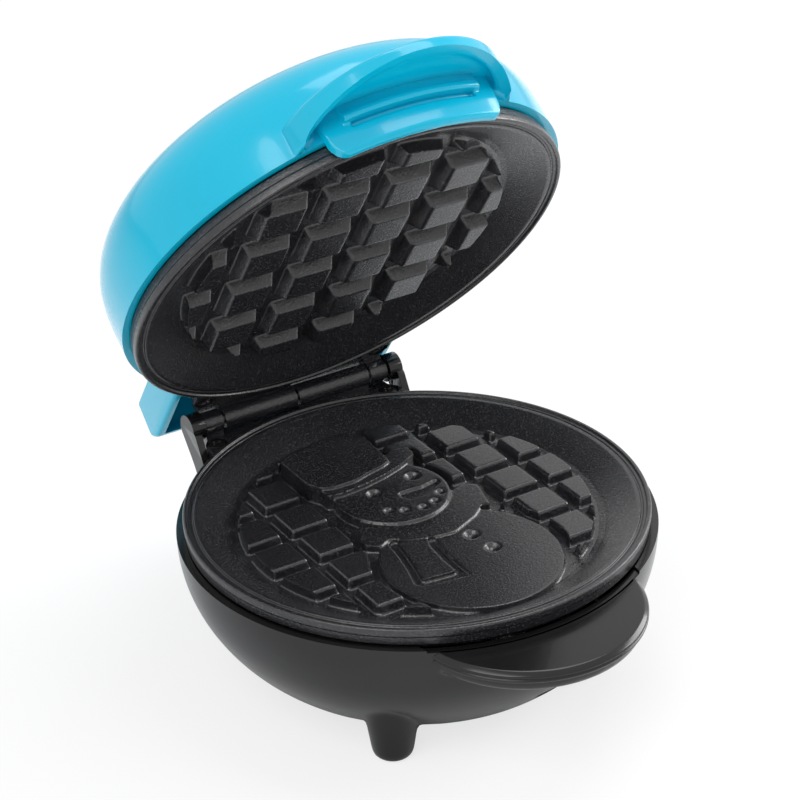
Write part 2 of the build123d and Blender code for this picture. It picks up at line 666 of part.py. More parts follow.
def cord_gland():
    """Moulded bushing where the supply enters, open for a cord."""
    outer = INLET_REACH
    body = rod_along_y(GLAND_RADIUS - FIT, GLAND_INNER, outer, 0, -INLET_CENTRE)
    flange = rod_along_y(GLAND_RADIUS + 1.6, outer, outer + GLAND_FLANGE, 0, -INLET_CENTRE)
    gland = body + flange
    gland -= rod_along_y(CORD_BORE_RADIUS, 40, 80, 0, -INLET_CENTRE)
    return gland


def supply_leads():
    """Two leads from the gland down to the connector block."""
    floor = -BOWL_DEPTH + WALL
    leads = []
    for side in (-1, 1):
        x = side * 1.7
        end = side * 5
        points = [(x, GLAND_INNER - FIT, -INLET_CENTRE), (x, 50, -INLET_CENTRE), (end, 45, floor + 3.2), (end, 38, floor + 3.2)]
        leads.append(lead(points, 2.6))
    return leads


def element_leads():
    """Two leads from the heater's cold pins down to the connector block."""
    floor = -BOWL_DEPTH + WALL
    depth = -(cast_underside(LOWER_FLOOR) + TUBE_RADIUS + FIT)
    leads = []
    for side in (-1, 1):
        x, y = pin_tip(side)
        angle = radians(pin_heading(side))
        bend = (x + 4.5 * cos(angle), y + 4.5 * sin(angle))
        leads.append(lead([(x, y, depth), (*bend, depth), (*bend, floor + 10)], 3))
    return leads


def lid_leads():
    """Two leads from the upper heater out through the rear of the dome."""
    depth = cast_underside(UPPER_FLOOR) + TUBE_RADIUS + FIT
    leads = []
    for side in (-1, 1):
        x, y = pin_tip(side)
        angle = radians(pin_heading(side))
        bend = (x + 4.5 * cos(angle), y + 4.5 * sin(angle))
        rear = (bend[0], HINGE_REACH + 4)
        leads.append(lead([(x, y, depth), (*bend, depth), (bend[0], 48, depth - 1.5), (*rear, depth - 1.5)], 2.6))
    return leads


def hinge_pin():
    """Steel pin through all four knuckles."""
    half = EAR_INNER + 1.6
    return rod_along_x(PIN_RADIUS, -half, half, HINGE_REACH, 0)


def indicator_lens():
    """Clear pilot-light lens in the top of the lid, with a barrel for its lamp."""
    top = LENS_TOP
    barrel = tube(LENS_RADIUS, LAMP_RADIUS + FIT, top - LAMP_LENGTH - 1, top - 1)
    cap = rod(LENS_RADIUS, top - 1, top + 0.6, 0, 0)
    cap = fillet(cap.edges().sort_by(Axis.Z)[-1], 0.7)
    return Pos(0, LAMP_Y, 0) * (barrel + cap)


def indicator_lamp():
    """Small neon lamp inside the lens barrel."""
    return rod(LAMP_RADIUS, LENS_TOP - LAMP_LENGTH, LENS_TOP - 1.1, 0, LAMP_Y)


# Levels worked out from the sizes above
LUG_SCREW_END = 13.0
FOOT_SEAT = BOWL_DEPTH - 2.0
PLATE_BOSS_END = cast_underside(LOWER_FLOOR) + 5.0
POST_TOP = PLATE_BOSS_END + 0.1
LENS_TOP = LID_HEIGHT - 1.1


def lower_plate():
    """Lower cast plate with the snowman relief and bosses over the feet."""
    plate = cast_plate(LOWER_FLOOR, LOWER_FLOOR_RADIUS, lower_relief())
    under = cast_underside(LOWER_FLOOR)
    for x, y in foot_places():
        plate += rod(4.0, -PLATE_BOSS_END, -under + 1, x, y)
        plate -= rod(SCREW_RADIUS, -PLATE_BOSS_END - 1, -under, x, y)
    for side in (-1, 1):
        plate += rod(2.6, -under - 1.9, -under + 1, side * 13, 0)
        plate -= rod(SCREW_RADIUS, -under - 3, -under + 1, side * 13, 0)
    return plate


def upper_plate():
    """Upper cast plate with a plain block grid, in its closed place."""
    return flip(cast_plate(UPPER_FLOOR, UPPER_FLOOR_RADIUS, upper_relief()))


def base_parts():
    """All pieces of the standing half."""
    return {
        "base_housing": base_housing(),
        "lower_plate": lower_plate(),
        "lower_element": heating_element(LOWER_FLOOR),
        "lower_element_clamp": element_clamp(LOWER_FLOOR),
        "lower_spacers": reflector_spacers(LOWER_FLOOR),
        "lower_reflector": reflector(LOWER_FLOOR),
        "lower_stack_screws": stack_screws(LOWER_FLOOR),
        "lower_lug_screws": lug_screws(),
        "foot_screws": foot_screws(),
        "thermostat": thermostat(),
        "thermostat_clip": thermostat_clip(),
        "thermostat_screws": thermostat_screws(),
        "thermal_fuse": thermal_fuse(),
        "fuse_clip": fuse_clip(),
        "terminal_block": terminal_block(),
        "terminal_screws": terminal_screws(),
        "cord_gland": cord_gland(),
        "supply_leads": supply_leads(),
        "element_leads": element_leads(),
        "hinge_pin": hinge_pin(),
    }


def lid_parts():
    """All pieces of the lid, in their closed places."""
    return {
        "lid_cover": lid_cover(),
        "upper_plate": upper_plate(),
        "upper_element": mirrored_up(heating_element(UPPER_FLOOR)),
        "upper_element_clamp": mirrored_up(element_clamp(UPPER_FLOOR)),
        "upper_spacers": mirrored_up(reflector_spacers(UPPER_FLOOR)),
        "upper_reflector": mirrored_up(reflector(UPPER_FLOOR)),
        "upper_stack_screws": mirrored_up(stack_screws(UPPER_FLOOR)),
        "upper_lug_screws": mirrored_up(lug_screws()),
        "lid_leads": lid_leads(),
        "indicator_lens": indicator_lens(),
        "indicator_lamp": indicator_lamp(),
    }


def mirrored_up(piece):
    """Turn one piece or a group of pieces over into the lid."""
    if isinstance(piece, list):
        return [flip(solid) for solid in piece]
    return flip(piece)


def solids_of(piece):
    """Flat list of the solids in one piece or a group of pieces."""
    pieces = piece if isinstance(piece, list) else [piece]
    return [solid for shape in pieces for solid in shape.solids()]


def assembled():
    """Every node with the lid at rest, moved so that the footprint is centred."""
    nodes = {name: solids_of(piece) for name, piece in base_parts().items()}
    opening = Pos(0, HINGE_REACH, 0) * Rot(-OPEN_AT_REST, 0, 0) * Pos(0, -HINGE_REACH, 0)
    for name, piece in lid_parts().items():
        nodes[name] = [opening * solid for solid in solids_of(piece)]
    boxes = [solid.bounding_box() for solids in nodes.values() for solid in solids]
    low = [min(getattr(box.min, axis) for box in boxes) for axis in "XYZ"]
    high = [max(getattr(box.max, axis) for box in boxes) for axis in "XYZ"]
    shift = (-(low[0] + high[0]) / 2, -(low[1] + high[1]) / 2, -low[2])
    print("shift", [round(value, 4) for value in shift])
    print("size", [round(b - a, 3) for a, b in zip(low, high)])
    move = Pos(*shift)
    return {name: [move * solid for solid in solids] for name, solids in nodes.items()}


def main():
    """Write one STEP file for each node."""
    os.makedirs("parts", exist_ok=True)
    for name, solids in assembled().items():
        shape = solids[0] if len(solids) == 1 else Compound(children=solids)
        export_step(shape, os.path.join("parts", name + ".step"))


if __name__ == "__main__":
    main()
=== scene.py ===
"""Looks of the mini waffle maker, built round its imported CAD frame.

Every new piece is modelled in millimetres about the centre of the plates, where X
runs along the hinge, +Y points to the hinge and Z = 0 is the parting plane. Pieces
of the lid are modelled shut. Settling a piece swings it open if it belongs to the
lid, scales it to metres and sets it on the frame.
"""

import json
import logging
import math
from contextlib import contextmanager
from dataclasses import dataclass
from enum import Enum
from typing import Callable, Iterator, Sequence

import bmesh
import bpy
from mathutils import Matrix, Vector


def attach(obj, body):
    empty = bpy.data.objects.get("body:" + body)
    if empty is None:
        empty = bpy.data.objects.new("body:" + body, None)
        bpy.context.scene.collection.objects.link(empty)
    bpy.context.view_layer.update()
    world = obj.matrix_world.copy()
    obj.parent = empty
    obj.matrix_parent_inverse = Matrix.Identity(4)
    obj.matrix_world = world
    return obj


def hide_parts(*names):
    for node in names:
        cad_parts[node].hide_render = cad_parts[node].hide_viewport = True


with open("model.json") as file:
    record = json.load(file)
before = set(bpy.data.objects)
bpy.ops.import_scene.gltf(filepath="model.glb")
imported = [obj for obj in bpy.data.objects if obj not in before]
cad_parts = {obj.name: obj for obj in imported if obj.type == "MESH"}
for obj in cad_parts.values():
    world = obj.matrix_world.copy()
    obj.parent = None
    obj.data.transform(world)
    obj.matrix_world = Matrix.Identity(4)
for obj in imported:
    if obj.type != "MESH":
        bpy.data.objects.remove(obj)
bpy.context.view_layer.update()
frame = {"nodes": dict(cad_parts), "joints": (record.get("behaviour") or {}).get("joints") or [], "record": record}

Pair = tuple[float, float]
Colour = tuple[float, float, float]
Outline = Sequence[Pair]
Piece = bpy.types.Object

log = logging.getLogger("waffle_maker")

HINGE_REACH = 65.0
LUG_SCREW_X, LUG_SCREW_Y = 27.9, 59.2
PIN_FIT = 1.55
LENS_Y = -30.0
INLET_Z = -22.5
OPEN_AT_REST = math.radians(54.6)
HINGE_POINT = Vector(frame["joints"][0]["pos_m"])
PLATE_CENTRE = HINGE_POINT - Vector((0.0, HINGE_REACH / 1000, 0.0))


class Half(Enum):
    """The body of the frame that a piece rides on."""

    BASE = "base"
    LID = "lid"


class Sheet(Enum):
    """The plane of an outline: which of across, up and depth is its X, Y and Z."""

    LEVEL = (0, 1, 2)
    SIDE = (2, 0, 1)
    FRONT = (0, 2, 1)

    def point(self, *place: float) -> Vector:
        """Point in space, given as across, up and depth of the plane."""
        return Vector([place[order] for order in self.value])


class Join(Enum):
    """Ways of combining two solids."""

    ADD = "UNION"
    CUT = "DIFFERENCE"
    KEEP = "INTERSECT"


# ---- shader graphs


class Wire:
    """A value output of a node, whose arithmetic adds Math nodes."""

    def __init__(self, graph: "Graph", socket: bpy.types.NodeSocket) -> None:
        """Wrap one output socket of a graph."""
        self.graph = graph
        self.socket = socket

    def _math(self, operation: str, first: object, second: object) -> "Wire":
        """Add one Math node and hand on its result."""
        return self.graph.node("ShaderNodeMath", {"operation": operation}, {0: first, 1: second})

    def __add__(self, other: object) -> "Wire":
        """Sum."""
        return self._math("ADD", self, other)

    __radd__ = __add__

    def __sub__(self, other: object) -> "Wire":
        """Difference."""
        return self._math("SUBTRACT", self, other)

    def __rsub__(self, other: object) -> "Wire":
        """Difference from a number."""
        return self._math("SUBTRACT", other, self)

    def __mul__(self, other: object) -> "Wire":
        """Product."""
        return self._math("MULTIPLY", self, other)

    __rmul__ = __mul__


class Graph:
    """Node graph of one material with a principled shader at its end."""

    def __init__(self, name: str, **constants: object) -> None:
        """Start a material.

        Args:
            name: The material's name.
            constants: Values for the shader's own sockets, with _ for a space.
        """
        self.material = bpy.data.materials.new(name)
        self.material.use_nodes = True
        self.tree = self.material.node_tree
        self.shader = next(n for n in self.tree.nodes if n.type == "BSDF_PRINCIPLED")
        for key, value in constants.items():
            socket = self.shader.inputs[key.replace("_", " ")]
            socket.default_value = (*value, 1.0) if isinstance(value, tuple) else value

    def node(self, kind: str, settings: dict[str, object], inputs: dict[object, object],
             output: object = 0) -> Wire:
        """Add any node.

        Args:
            kind: The node's type name.
            settings: Its settings; "stops" fills a colour ramp.
            inputs: Values or wires by socket name or number.
            output: Name or number of the output to hand on.

        Returns:
            The chosen output as a wire.
        """
        made = self.tree.nodes.new(kind)
        for key, value in settings.items():
            if key == "stops":
                while len(made.color_ramp.elements) < len(value):
                    made.color_ramp.elements.new(0.5)
                for element, (place, tone) in zip(made.color_ramp.elements, value):
                    element.position = place
                    element.color = (tone, tone, tone, 1.0)
            else:
                setattr(made, key, value)
        for key, value in inputs.items():
            if isinstance(value, Wire):
                self.tree.links.new(value.socket, made.inputs[key])
            else:
                made.inputs[key].default_value = value
        return Wire(self, made.outputs[output])

    def place(self, stretch: Sequence[float] = (1.0, 1.0, 1.0)) -> Wire:
        """Object coordinates, scaled along each axis."""
        spot = self.node("ShaderNodeTexCoord", {}, {}, "Object")
        return self.node("ShaderNodeMapping", {}, {"Vector": spot, "Scale": Vector(stretch)})

    def noise(self, scale: float, detail: float = 2.0,
              stretch: Sequence[float] = (1.0, 1.0, 1.0)) -> Wire:
        """Soft noise between 0 and 1, with a number of cells per metre and of octaves."""
        return self.node("ShaderNodeTexNoise", {},
                         {"Vector": self.place(stretch), "Scale": scale, "Detail": detail})

    def ramp(self, value: Wire, *stops: Pair) -> Wire:
        """Remap a value through grey stops, each a place and a tone."""
        return self.node("ShaderNodeValToRGB", {"stops": stops}, {"Fac": value})

    def blend(self, share: object, first: object, second: object) -> Wire:
        """Mix two colours by the share of the second one."""
        tones = [(*c, 1.0) if isinstance(c, tuple) else c for c in (first, second)]
        return self.node("ShaderNodeMix", {"data_type": "RGBA"},
                         {0: share, 6: tones[0], 7: tones[1]}, 2)

    def bump(self, height: Wire, depth: float, strength: float = 1.0,
             under: Wire | None = None) -> Wire:
        """Normal of a relief with a depth in metres, on top of a coarser one."""
        below = {} if under is None else {"Normal": under}
        return self.node("ShaderNodeBump", {},
                         {"Height": height, "Distance": depth, "Strength": strength, **below})

    def feed(self, **links: Wire) -> bpy.types.Material:
        """Link wires to the shader.

        Args:
            links: Wires by the shader's socket names, with _ for a space.

        Returns:
            The finished material.
        """
        for key, wire in links.items():
            self.tree.links.new(wire.socket, self.shader.inputs[key.replace("_", " ")])
        return self.material


# ---- finishes


@dataclass(frozen=True)
class Finish:
    """A surface finish that can make its own material."""

    name: str
    slot: str

    def material(self) -> bpy.types.Material:
        """The finish's material, made once."""
        return bpy.data.materials.get(self.name) or self.make()

    def make(self) -> bpy.types.Material:
        """Build the material; each kind of finish has its own way."""
        raise NotImplementedError


@dataclass(frozen=True)
class Moulding(Finish):
    """Injection moulded plastic, from high gloss to satin."""

    colour: Colour = (0.5, 0.5, 0.5)
    shade: Colour = (0.4, 0.4, 0.4)
    roughness: float = 0.12
    haze: float = 0.08
    peel: float = 0.000012
    coat: float = 0.2
    ior: float = 1.4

    def make(self) -> bpy.types.Material:
        """Plastic with faint tone drift, orange peel, haze and handling marks."""
        graph = Graph(self.name, Coat_Weight=self.coat, Coat_Roughness=0.04, IOR=self.ior)
        drift = graph.noise(26.0, 3.0)
        marks = graph.ramp(graph.noise(160.0, 6.0, (1.0, 0.25, 1.0)), (0.5, 0.0), (0.74, 1.0))
        base = graph.blend(graph.ramp(drift, (0.3, 0.0), (0.7, 1.0)), self.colour, self.shade)
        relief = graph.bump(graph.noise(420.0, 1.0), self.peel)
        rough = self.roughness + graph.noise(70.0, 4.0) * self.haze + marks * (self.haze * 0.6)
        return graph.feed(Base_Color=base, Roughness=rough, Normal=relief)


@dataclass(frozen=True)
class CastCoating(Finish):
    """Cast aluminium under a sprayed, speckled non-stick coating."""

    colour: Colour = (0.005, 0.005, 0.0065)
    speckle: Colour = (0.13, 0.13, 0.14)
    roughness: float = 0.24
    grain: float = 0.00011

    def make(self) -> bpy.types.Material:
        """Coating with pebbled grain, pale specks and a cloudy sheen."""
        graph = Graph(self.name, IOR=1.6)
        pebbles = graph.noise(2100.0, 2.0)
        cells = graph.node("ShaderNodeTexVoronoi", {"feature": "F1"},
                           {"Vector": graph.place(), "Scale": 1500.0})
        specks = graph.ramp(graph.noise(2300.0, 1.0), (0.55, 0.0), (0.7, 1.0))
        cloud = graph.noise(60.0, 4.0)
        base = graph.blend(specks * 0.45 + cloud * 0.04, self.colour, self.speckle)
        coarse = graph.bump(graph.noise(200.0, 2.0), 0.00003, 0.4)
        height = pebbles * 0.7 + (1.0 - cells) * 0.3
        relief = graph.bump(height, self.grain, 0.85, coarse)
        rough = self.roughness + cloud * 0.14 - specks * 0.1
        return graph.feed(Base_Color=base, Roughness=rough, Normal=relief)


@dataclass(frozen=True)
class Metal(Finish):
    """Bare, plated or blackened metal with drawn lines."""

    colour: Colour = (0.6, 0.6, 0.58)
    stain: Colour = (0.4, 0.38, 0.35)
    roughness: float = 0.3
    lines: Sequence[float] = (0.05, 1.0, 1.0)

    def make(self) -> bpy.types.Material:
        """Metal with fine lines, dull patches and a little tarnish."""
        graph = Graph(self.name, Metallic=1.0)
        drawn = graph.noise(2600.0, 3.0, self.lines)
        patches = graph.ramp(graph.noise(190.0, 5.0), (0.42, 0.0), (0.7, 1.0))
        base = graph.blend(patches * 0.6, self.colour, self.stain)
        rough = self.roughness + drawn * 0.16 + patches * 0.12
        return graph.feed(Base_Color=base, Roughness=rough, Normal=graph.bump(drawn, 0.00002, 0.5))


@dataclass(frozen=True)
class Mineral(Finish):
    """Ceramic, woven glass or rubber: a dull body with its own grain."""

    colour: Colour = (0.8, 0.78, 0.72)
    shade: Colour = (0.6, 0.58, 0.52)
    roughness: float = 0.5
    scale: float = 900.0
    depth: float = 0.00005
    stretch: Sequence[float] = (1.0, 1.0, 1.0)

    def make(self) -> bpy.types.Material:
        """Dull body with grain, dust and uneven tone."""
        graph = Graph(self.name)
        grain = graph.noise(self.scale, 4.0, self.stretch)
        dust = graph.ramp(graph.noise(120.0, 5.0), (0.4, 0.0), (0.75, 1.0))
        base = graph.blend(grain * 0.5 + dust * 0.3, self.colour, self.shade)
        return graph.feed(Base_Color=base, Roughness=self.roughness + grain * 0.15,
                          Normal=graph.bump(grain, self.depth, 0.7))


@dataclass(frozen=True)
class ClearTint(Finish):
    """Tinted clear plastic of the pilot light."""

    colour: Colour = (0.9, 0.25, 0.12)

    def make(self) -> bpy.types.Material:
        """Clear tint with faint flow lines."""
        graph = Graph(self.name, Transmission_Weight=0.85, IOR=1.49)
        flow = graph.noise(300.0, 2.0)
        base = graph.blend(flow * 0.4, self.colour, (0.7, 0.12, 0.06))
        return graph.feed(Base_Color=base, Roughness=0.05 + flow * 0.06,
                          Normal=graph.bump(flow, 0.00002, 0.4))


@dataclass(frozen=True)
class Palette:
    """All finishes of the waffle maker."""

    aqua: Finish = Moulding("AquaGloss", "aqua_shell", colour=(0.0, 0.46, 0.66),
                            shade=(0.0, 0.435, 0.635))
    black: Finish = Moulding("BlackGloss", "black_shell", colour=(0.005, 0.005, 0.0055),
                             shade=(0.008, 0.008, 0.0085), roughness=0.16, haze=0.08, coat=0.1, ior=1.4)
    cast: Finish = CastCoating("SpeckledCoating", "nonstick")
    screw: Finish = Metal("BlackenedSteel", "screw_steel", colour=(0.07, 0.07, 0.075),
                          stain=(0.03, 0.03, 0.03))
    zinc: Finish = Metal("ZincPlate", "zinc_steel")
    pin: Finish = Metal("DrawnSteel", "pin_steel", roughness=0.25)
    sheath: Finish = Metal("HeaterSheath", "heater_sheath", colour=(0.32, 0.3, 0.29),
                           stain=(0.16, 0.13, 0.12), roughness=0.5)
    bright: Finish = Metal("BrightSheet", "reflector_sheet", colour=(0.78, 0.78, 0.79),
                           roughness=0.2)
    brass: Finish = Metal("Brass", "brass_parts", colour=(0.7, 0.5, 0.22), stain=(0.4, 0.25, 0.1))
    ceramic: Finish = Mineral("Ceramic", "ceramic_white", roughness=0.35)
    sleeve: Finish = Mineral("WovenSleeve", "fuse_sleeve", colour=(0.85, 0.82, 0.7), scale=2400.0,
                             depth=0.0002, stretch=(0.3, 1.0, 1.0), roughness=0.8)
    rubber: Finish = Mineral("MattRubber", "gland_rubber", colour=(0.02, 0.02, 0.021),
                             shade=(0.035, 0.035, 0.036), roughness=0.55)
    silicone: Finish = Mineral("SiliconeLead", "lead_insulation", colour=(0.8, 0.79, 0.75),
                               shade=(0.6, 0.59, 0.55), roughness=0.45)
    lens: Finish = ClearTint("TintedLens", "lens_clear")
    lamp: Finish = ClearTint("LampGlass", "lamp_glass", colour=(0.95, 0.6, 0.4))


# ---- modelling


class Bench:
    """The steps of modelling by hand, shared by every sub-assembly."""

    @staticmethod
    def take(piece: Piece) -> None:
        """Leave edit mode and select one piece alone."""
        if bpy.context.object and bpy.context.object.mode != "OBJECT":
            bpy.ops.object.mode_set(mode="OBJECT")
        bpy.ops.object.select_all(action="DESELECT")
        piece.select_set(True)
        bpy.context.view_layer.objects.active = piece

    @staticmethod
    def start(name: str, primitive: Callable[..., object], **settings: object) -> Piece:
        """Add a primitive and fix its place in its mesh.

        Args:
            name: Name of the new piece.
            primitive: The operator that adds it.
            settings: The operator's settings.

        Returns:
            The blank, selected alone.
        """
        bpy.ops.object.select_all(action="DESELECT")
        primitive(**settings)
        piece = bpy.context.object
        piece.name = name
        bpy.ops.object.transform_apply(location=True, rotation=True, scale=True)
        return piece

    @staticmethod
    @contextmanager
    def editing(piece: Piece, element: str = "FACE") -> Iterator[None]:
        """Edit a piece with nothing selected at first.

        Args:
            piece: What is edited.
            element: VERT, EDGE or FACE selection.

        Yields:
            Nothing, while the piece is in edit mode.
        """
        Bench.take(piece)
        bpy.ops.object.mode_set(mode="EDIT")
        bpy.ops.mesh.select_mode(type=element)
        bpy.ops.mesh.select_all(action="DESELECT")
        yield
        bpy.ops.object.mode_set(mode="OBJECT")

    @staticmethod
    def pick(piece: Piece, test: Callable[[Vector, Vector], bool]) -> None:
        """Select faces in edit mode.

        Args:
            piece: The piece in edit mode.
            test: Says from a face's centre and normal if it is wanted.
        """
        mesh = bmesh.from_edit_mesh(piece.data)
        for face in mesh.faces:
            face.select_set(test(face.calc_center_median(), face.normal))
        mesh.select_flush_mode()
        bmesh.update_edit_mesh(piece.data)

    @staticmethod
    def chain(name: str, points: Sequence[Vector], closed: bool) -> Piece:
        """Draw a run of edges by extruding one vertex.

        Args:
            name: Name of the new piece.
            points: Corners in order.
            closed: Whether the last corner joins the first.

        Returns:
            The wire outline.
        """
        piece = Bench.start(name, bpy.ops.mesh.primitive_plane_add, size=0.1, location=(0, 0, 0))
        with Bench.editing(piece, "VERT"):
            bpy.ops.mesh.select_all(action="SELECT")
            bpy.ops.mesh.merge(type="CENTER")
            bpy.ops.transform.translate(value=points[0])
            for before, after in zip(points, points[1:]):
                bpy.ops.mesh.extrude_region_move(TRANSFORM_OT_translate={"value": after - before})
            if closed:
                bpy.ops.mesh.select_all(action="DESELECT")
                for corner in bmesh.from_edit_mesh(piece.data).verts:
                    corner.select_set(len(corner.link_edges) == 1)
                bmesh.update_edit_mesh(piece.data)
                bpy.ops.mesh.edge_face_add()
        return piece

    @staticmethod
    def turned(name: str, profile: Outline, steps: int = 96, closed: bool = False,
               centre: Pair = (0.0, 0.0)) -> Piece:
        """Spin a profile about an upright axis.

        Args:
            name: Name of the new piece.
            profile: Pairs of radius and height.
            steps: Steps of the full turn.
            closed: Whether the profile is a closed ring.
            centre: Place of the axis.

        Returns:
            The turned solid.
        """
        corners = [Sheet.FRONT.point(r + centre[0], z, centre[1]) for r, z in profile]
        piece = Bench.chain(name, corners, closed)
        with Bench.editing(piece, "VERT"):
            bpy.ops.mesh.select_all(action="SELECT")
            bpy.ops.mesh.spin(steps=steps, angle=math.tau, center=(*centre, 0.0), axis=(0, 0, 1))
            bpy.ops.mesh.select_all(action="SELECT")
            bpy.ops.mesh.remove_doubles(threshold=0.002)
            bpy.ops.mesh.normals_make_consistent(inside=False)
        return piece

    @staticmethod
    def prism(name: str, outline: Outline, low: float, high: float,
              sheet: Sheet = Sheet.LEVEL) -> Piece:
        """Fill an outline and extrude it.

        Args:
            name: Name of the new piece.
            outline: Corners in the plane.
            low: Level of the first face.
            high: Level of the last face.
            sheet: Plane of the outline.

        Returns:
            The solid.
        """
        piece = Bench.chain(name, [sheet.point(u, v, low) for u, v in outline], True)
        travel = sheet.point(0, 0, high - low)
        with Bench.editing(piece, "VERT"):
            bpy.ops.mesh.select_all(action="SELECT")
            bpy.ops.mesh.edge_face_add()
            bpy.ops.mesh.extrude_region_move(TRANSFORM_OT_translate={"value": travel})
            bpy.ops.mesh.select_all(action="SELECT")
            bpy.ops.mesh.normals_make_consistent(inside=False)
        return piece

    @staticmethod
    def drum(name: str, radius: float, low: float, high: float, x: float = 0.0, y: float = 0.0,
             steps: int = 64, sheet: Sheet = Sheet.LEVEL) -> Piece:
        """Cylinder between two levels, as a blank or a cutter.

        Args:
            name: Name of the new piece.
            radius: Its radius.
            low: Level of one end.
            high: Level of the other end.
            x: First coordinate of its axis in the plane.
            y: Second coordinate of its axis in the plane.
            steps: Sides of the round.
            sheet: Plane of its end faces.

        Returns:
            The solid.
        """
        quarter = math.pi / 2
        turn = {Sheet.LEVEL: (0, 0, 0), Sheet.SIDE: (0, quarter, 0), Sheet.FRONT: (quarter, 0, 0)}
        return Bench.start(name, bpy.ops.mesh.primitive_cylinder_add, vertices=steps, radius=radius,
                           depth=high - low, location=sheet.point(x, y, (low + high) / 2),
                           rotation=turn[sheet])

    @staticmethod
    def box(name: str, low: Sequence[float], high: Sequence[float]) -> Piece:
        """Box between its lowest and highest corner, as a blank or a cutter."""
        middle, span = [(a + b) / 2 for a, b in zip(low, high)], [b - a for a, b in zip(low, high)]
        return Bench.start(name, bpy.ops.mesh.primitive_cube_add, size=1, location=middle, scale=span)

    @staticmethod
    def modify(piece: Piece, kind: str, **settings: object) -> Piece:
        """Add a modifier and apply it.

        Args:
            piece: What is changed.
            kind: The modifier's type.
            settings: Its settings.

        Returns:
            The same piece.
        """
        Bench.take(piece)
        made = piece.modifiers.new(kind.lower(), kind)
        for key, value in settings.items():
            setattr(made, key, value)
        bpy.ops.object.modifier_apply(modifier=made.name)
        return piece

    @staticmethod
    def combine(piece: Piece, how: Join, *tools: Piece) -> Piece:
        """Combine solids and use the tools up.

        Args:
            piece: What is changed.
            how: Add, cut or keep.
            tools: The other solids, one after another.

        Returns:
            The same piece.
        """
        for tool in tools:
            before = len(piece.data.vertices), len(piece.data.polygons)
            Bench.modify(piece, "BOOLEAN", operation=how.value, object=tool, solver="MANIFOLD")
            if (len(piece.data.vertices), len(piece.data.polygons)) == before:
                log.warning("exact join of %s with %s", piece.name, tool.name)
                Bench.modify(piece, "BOOLEAN", operation=how.value, object=tool, solver="EXACT")
            bpy.data.objects.remove(tool)
        return piece

    @staticmethod
    def copy(piece: Piece, name: str, matrix: Matrix) -> Piece:
        """Copy a piece with its own mesh and move the copy.

        Args:
            piece: What is copied.
            name: Name of the copy.
            matrix: Where the copy goes.

        Returns:
            The copy.
        """
        made = piece.copy()
        made.data = piece.data.copy()
        made.name = name
        made.data.transform(matrix)
        bpy.context.scene.collection.objects.link(made)
        return made

    @staticmethod
    def gather(piece: Piece, others: Sequence[Piece]) -> Piece:
        """Join pieces into one without changing their faces.

        Args:
            piece: The piece that stays.
            others: The pieces that go into it.

        Returns:
            The joined piece.
        """
        Bench.take(piece)
        for other in others:
            other.select_set(True)
        bpy.ops.object.join()
        return piece

    @staticmethod
    def round_edges(piece: Piece, width: float, segments: int = 3, angle: float = 35.0) -> Piece:
        """Bevel the edges of a piece that are sharper than an angle."""
        return Bench.modify(piece, "BEVEL", width=width, segments=segments, limit_method="ANGLE",
                            angle_limit=math.radians(angle), harden_normals=False)

    @staticmethod
    def cast(piece: Piece, voxel: float, passes: int) -> Piece:
        """Melt a built-up solid into one skin of new faces, smoothed in a number of passes."""
        Bench.modify(piece, "REMESH", mode="VOXEL", voxel_size=voxel, use_smooth_shade=True)
        return Bench.modify(piece, "SMOOTH", factor=0.5, iterations=passes)

    @staticmethod
    def weigh(piece: Piece, weight: Callable[[Vector], float]) -> str:
        """Give a piece a vertex group.

        Args:
            piece: What is weighed.
            weight: Weight of a vertex from its place.

        Returns:
            The group's name.
        """
        group = piece.vertex_groups.new(name="weight")
        for vertex in piece.data.vertices:
            share = weight(vertex.co)
            if share > 0:
                group.add([vertex.index], min(share, 1.0), "REPLACE")
        return group.name

    @staticmethod
    def hug(piece: Piece, target: Piece, weight: Callable[[Vector], float]) -> Piece:
        """Pull a piece's skin onto an exact form where a weight says so.

        Args:
            piece: What is changed.
            target: The exact form, used up.
            weight: Weight of a vertex from its place.

        Returns:
            The same piece.
        """
        group = Bench.weigh(piece, weight)
        Bench.modify(piece, "SHRINKWRAP", target=target, wrap_method="NEAREST_SURFACEPOINT",
                     vertex_group=group)
        piece.vertex_groups.clear()
        bpy.data.objects.remove(target)
        return piece

    @staticmethod
    def settle(piece: Piece, half: Half, finish: Finish, nodes: Sequence[str] = (),
               angle: float = 35.0) -> Piece:
        """Set a finished piece on the frame and dress it.

        Args:
            piece: The finished piece, in millimetres with the lid shut.
            half: The body that it rides on.
            finish: Its finish.
            nodes: CAD nodes that it stands for.
            angle: Edges sharper than this stay sharp.

        Returns:
            The same piece.
        """
        Bench.take(piece)
        bpy.ops.object.shade_smooth_by_angle(angle=math.radians(angle))
        place = Matrix.Translation(PLATE_CENTRE) @ Matrix.Scale(0.001, 4)
        if half is Half.LID:
            pivot = Matrix.Translation((0, HINGE_REACH, 0))
            place = place @ pivot @ Matrix.Rotation(-OPEN_AT_REST, 4, "X") @ pivot.inverted()
        piece.data.transform(place)
        piece.data.materials.clear()
        piece.data.materials.append(finish.material())
        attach(piece, half.value)
        if nodes:
            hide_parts(*nodes)
        log.info("%s: %d faces on %s", piece.name, len(piece.data.polygons), half.value)
        return piece


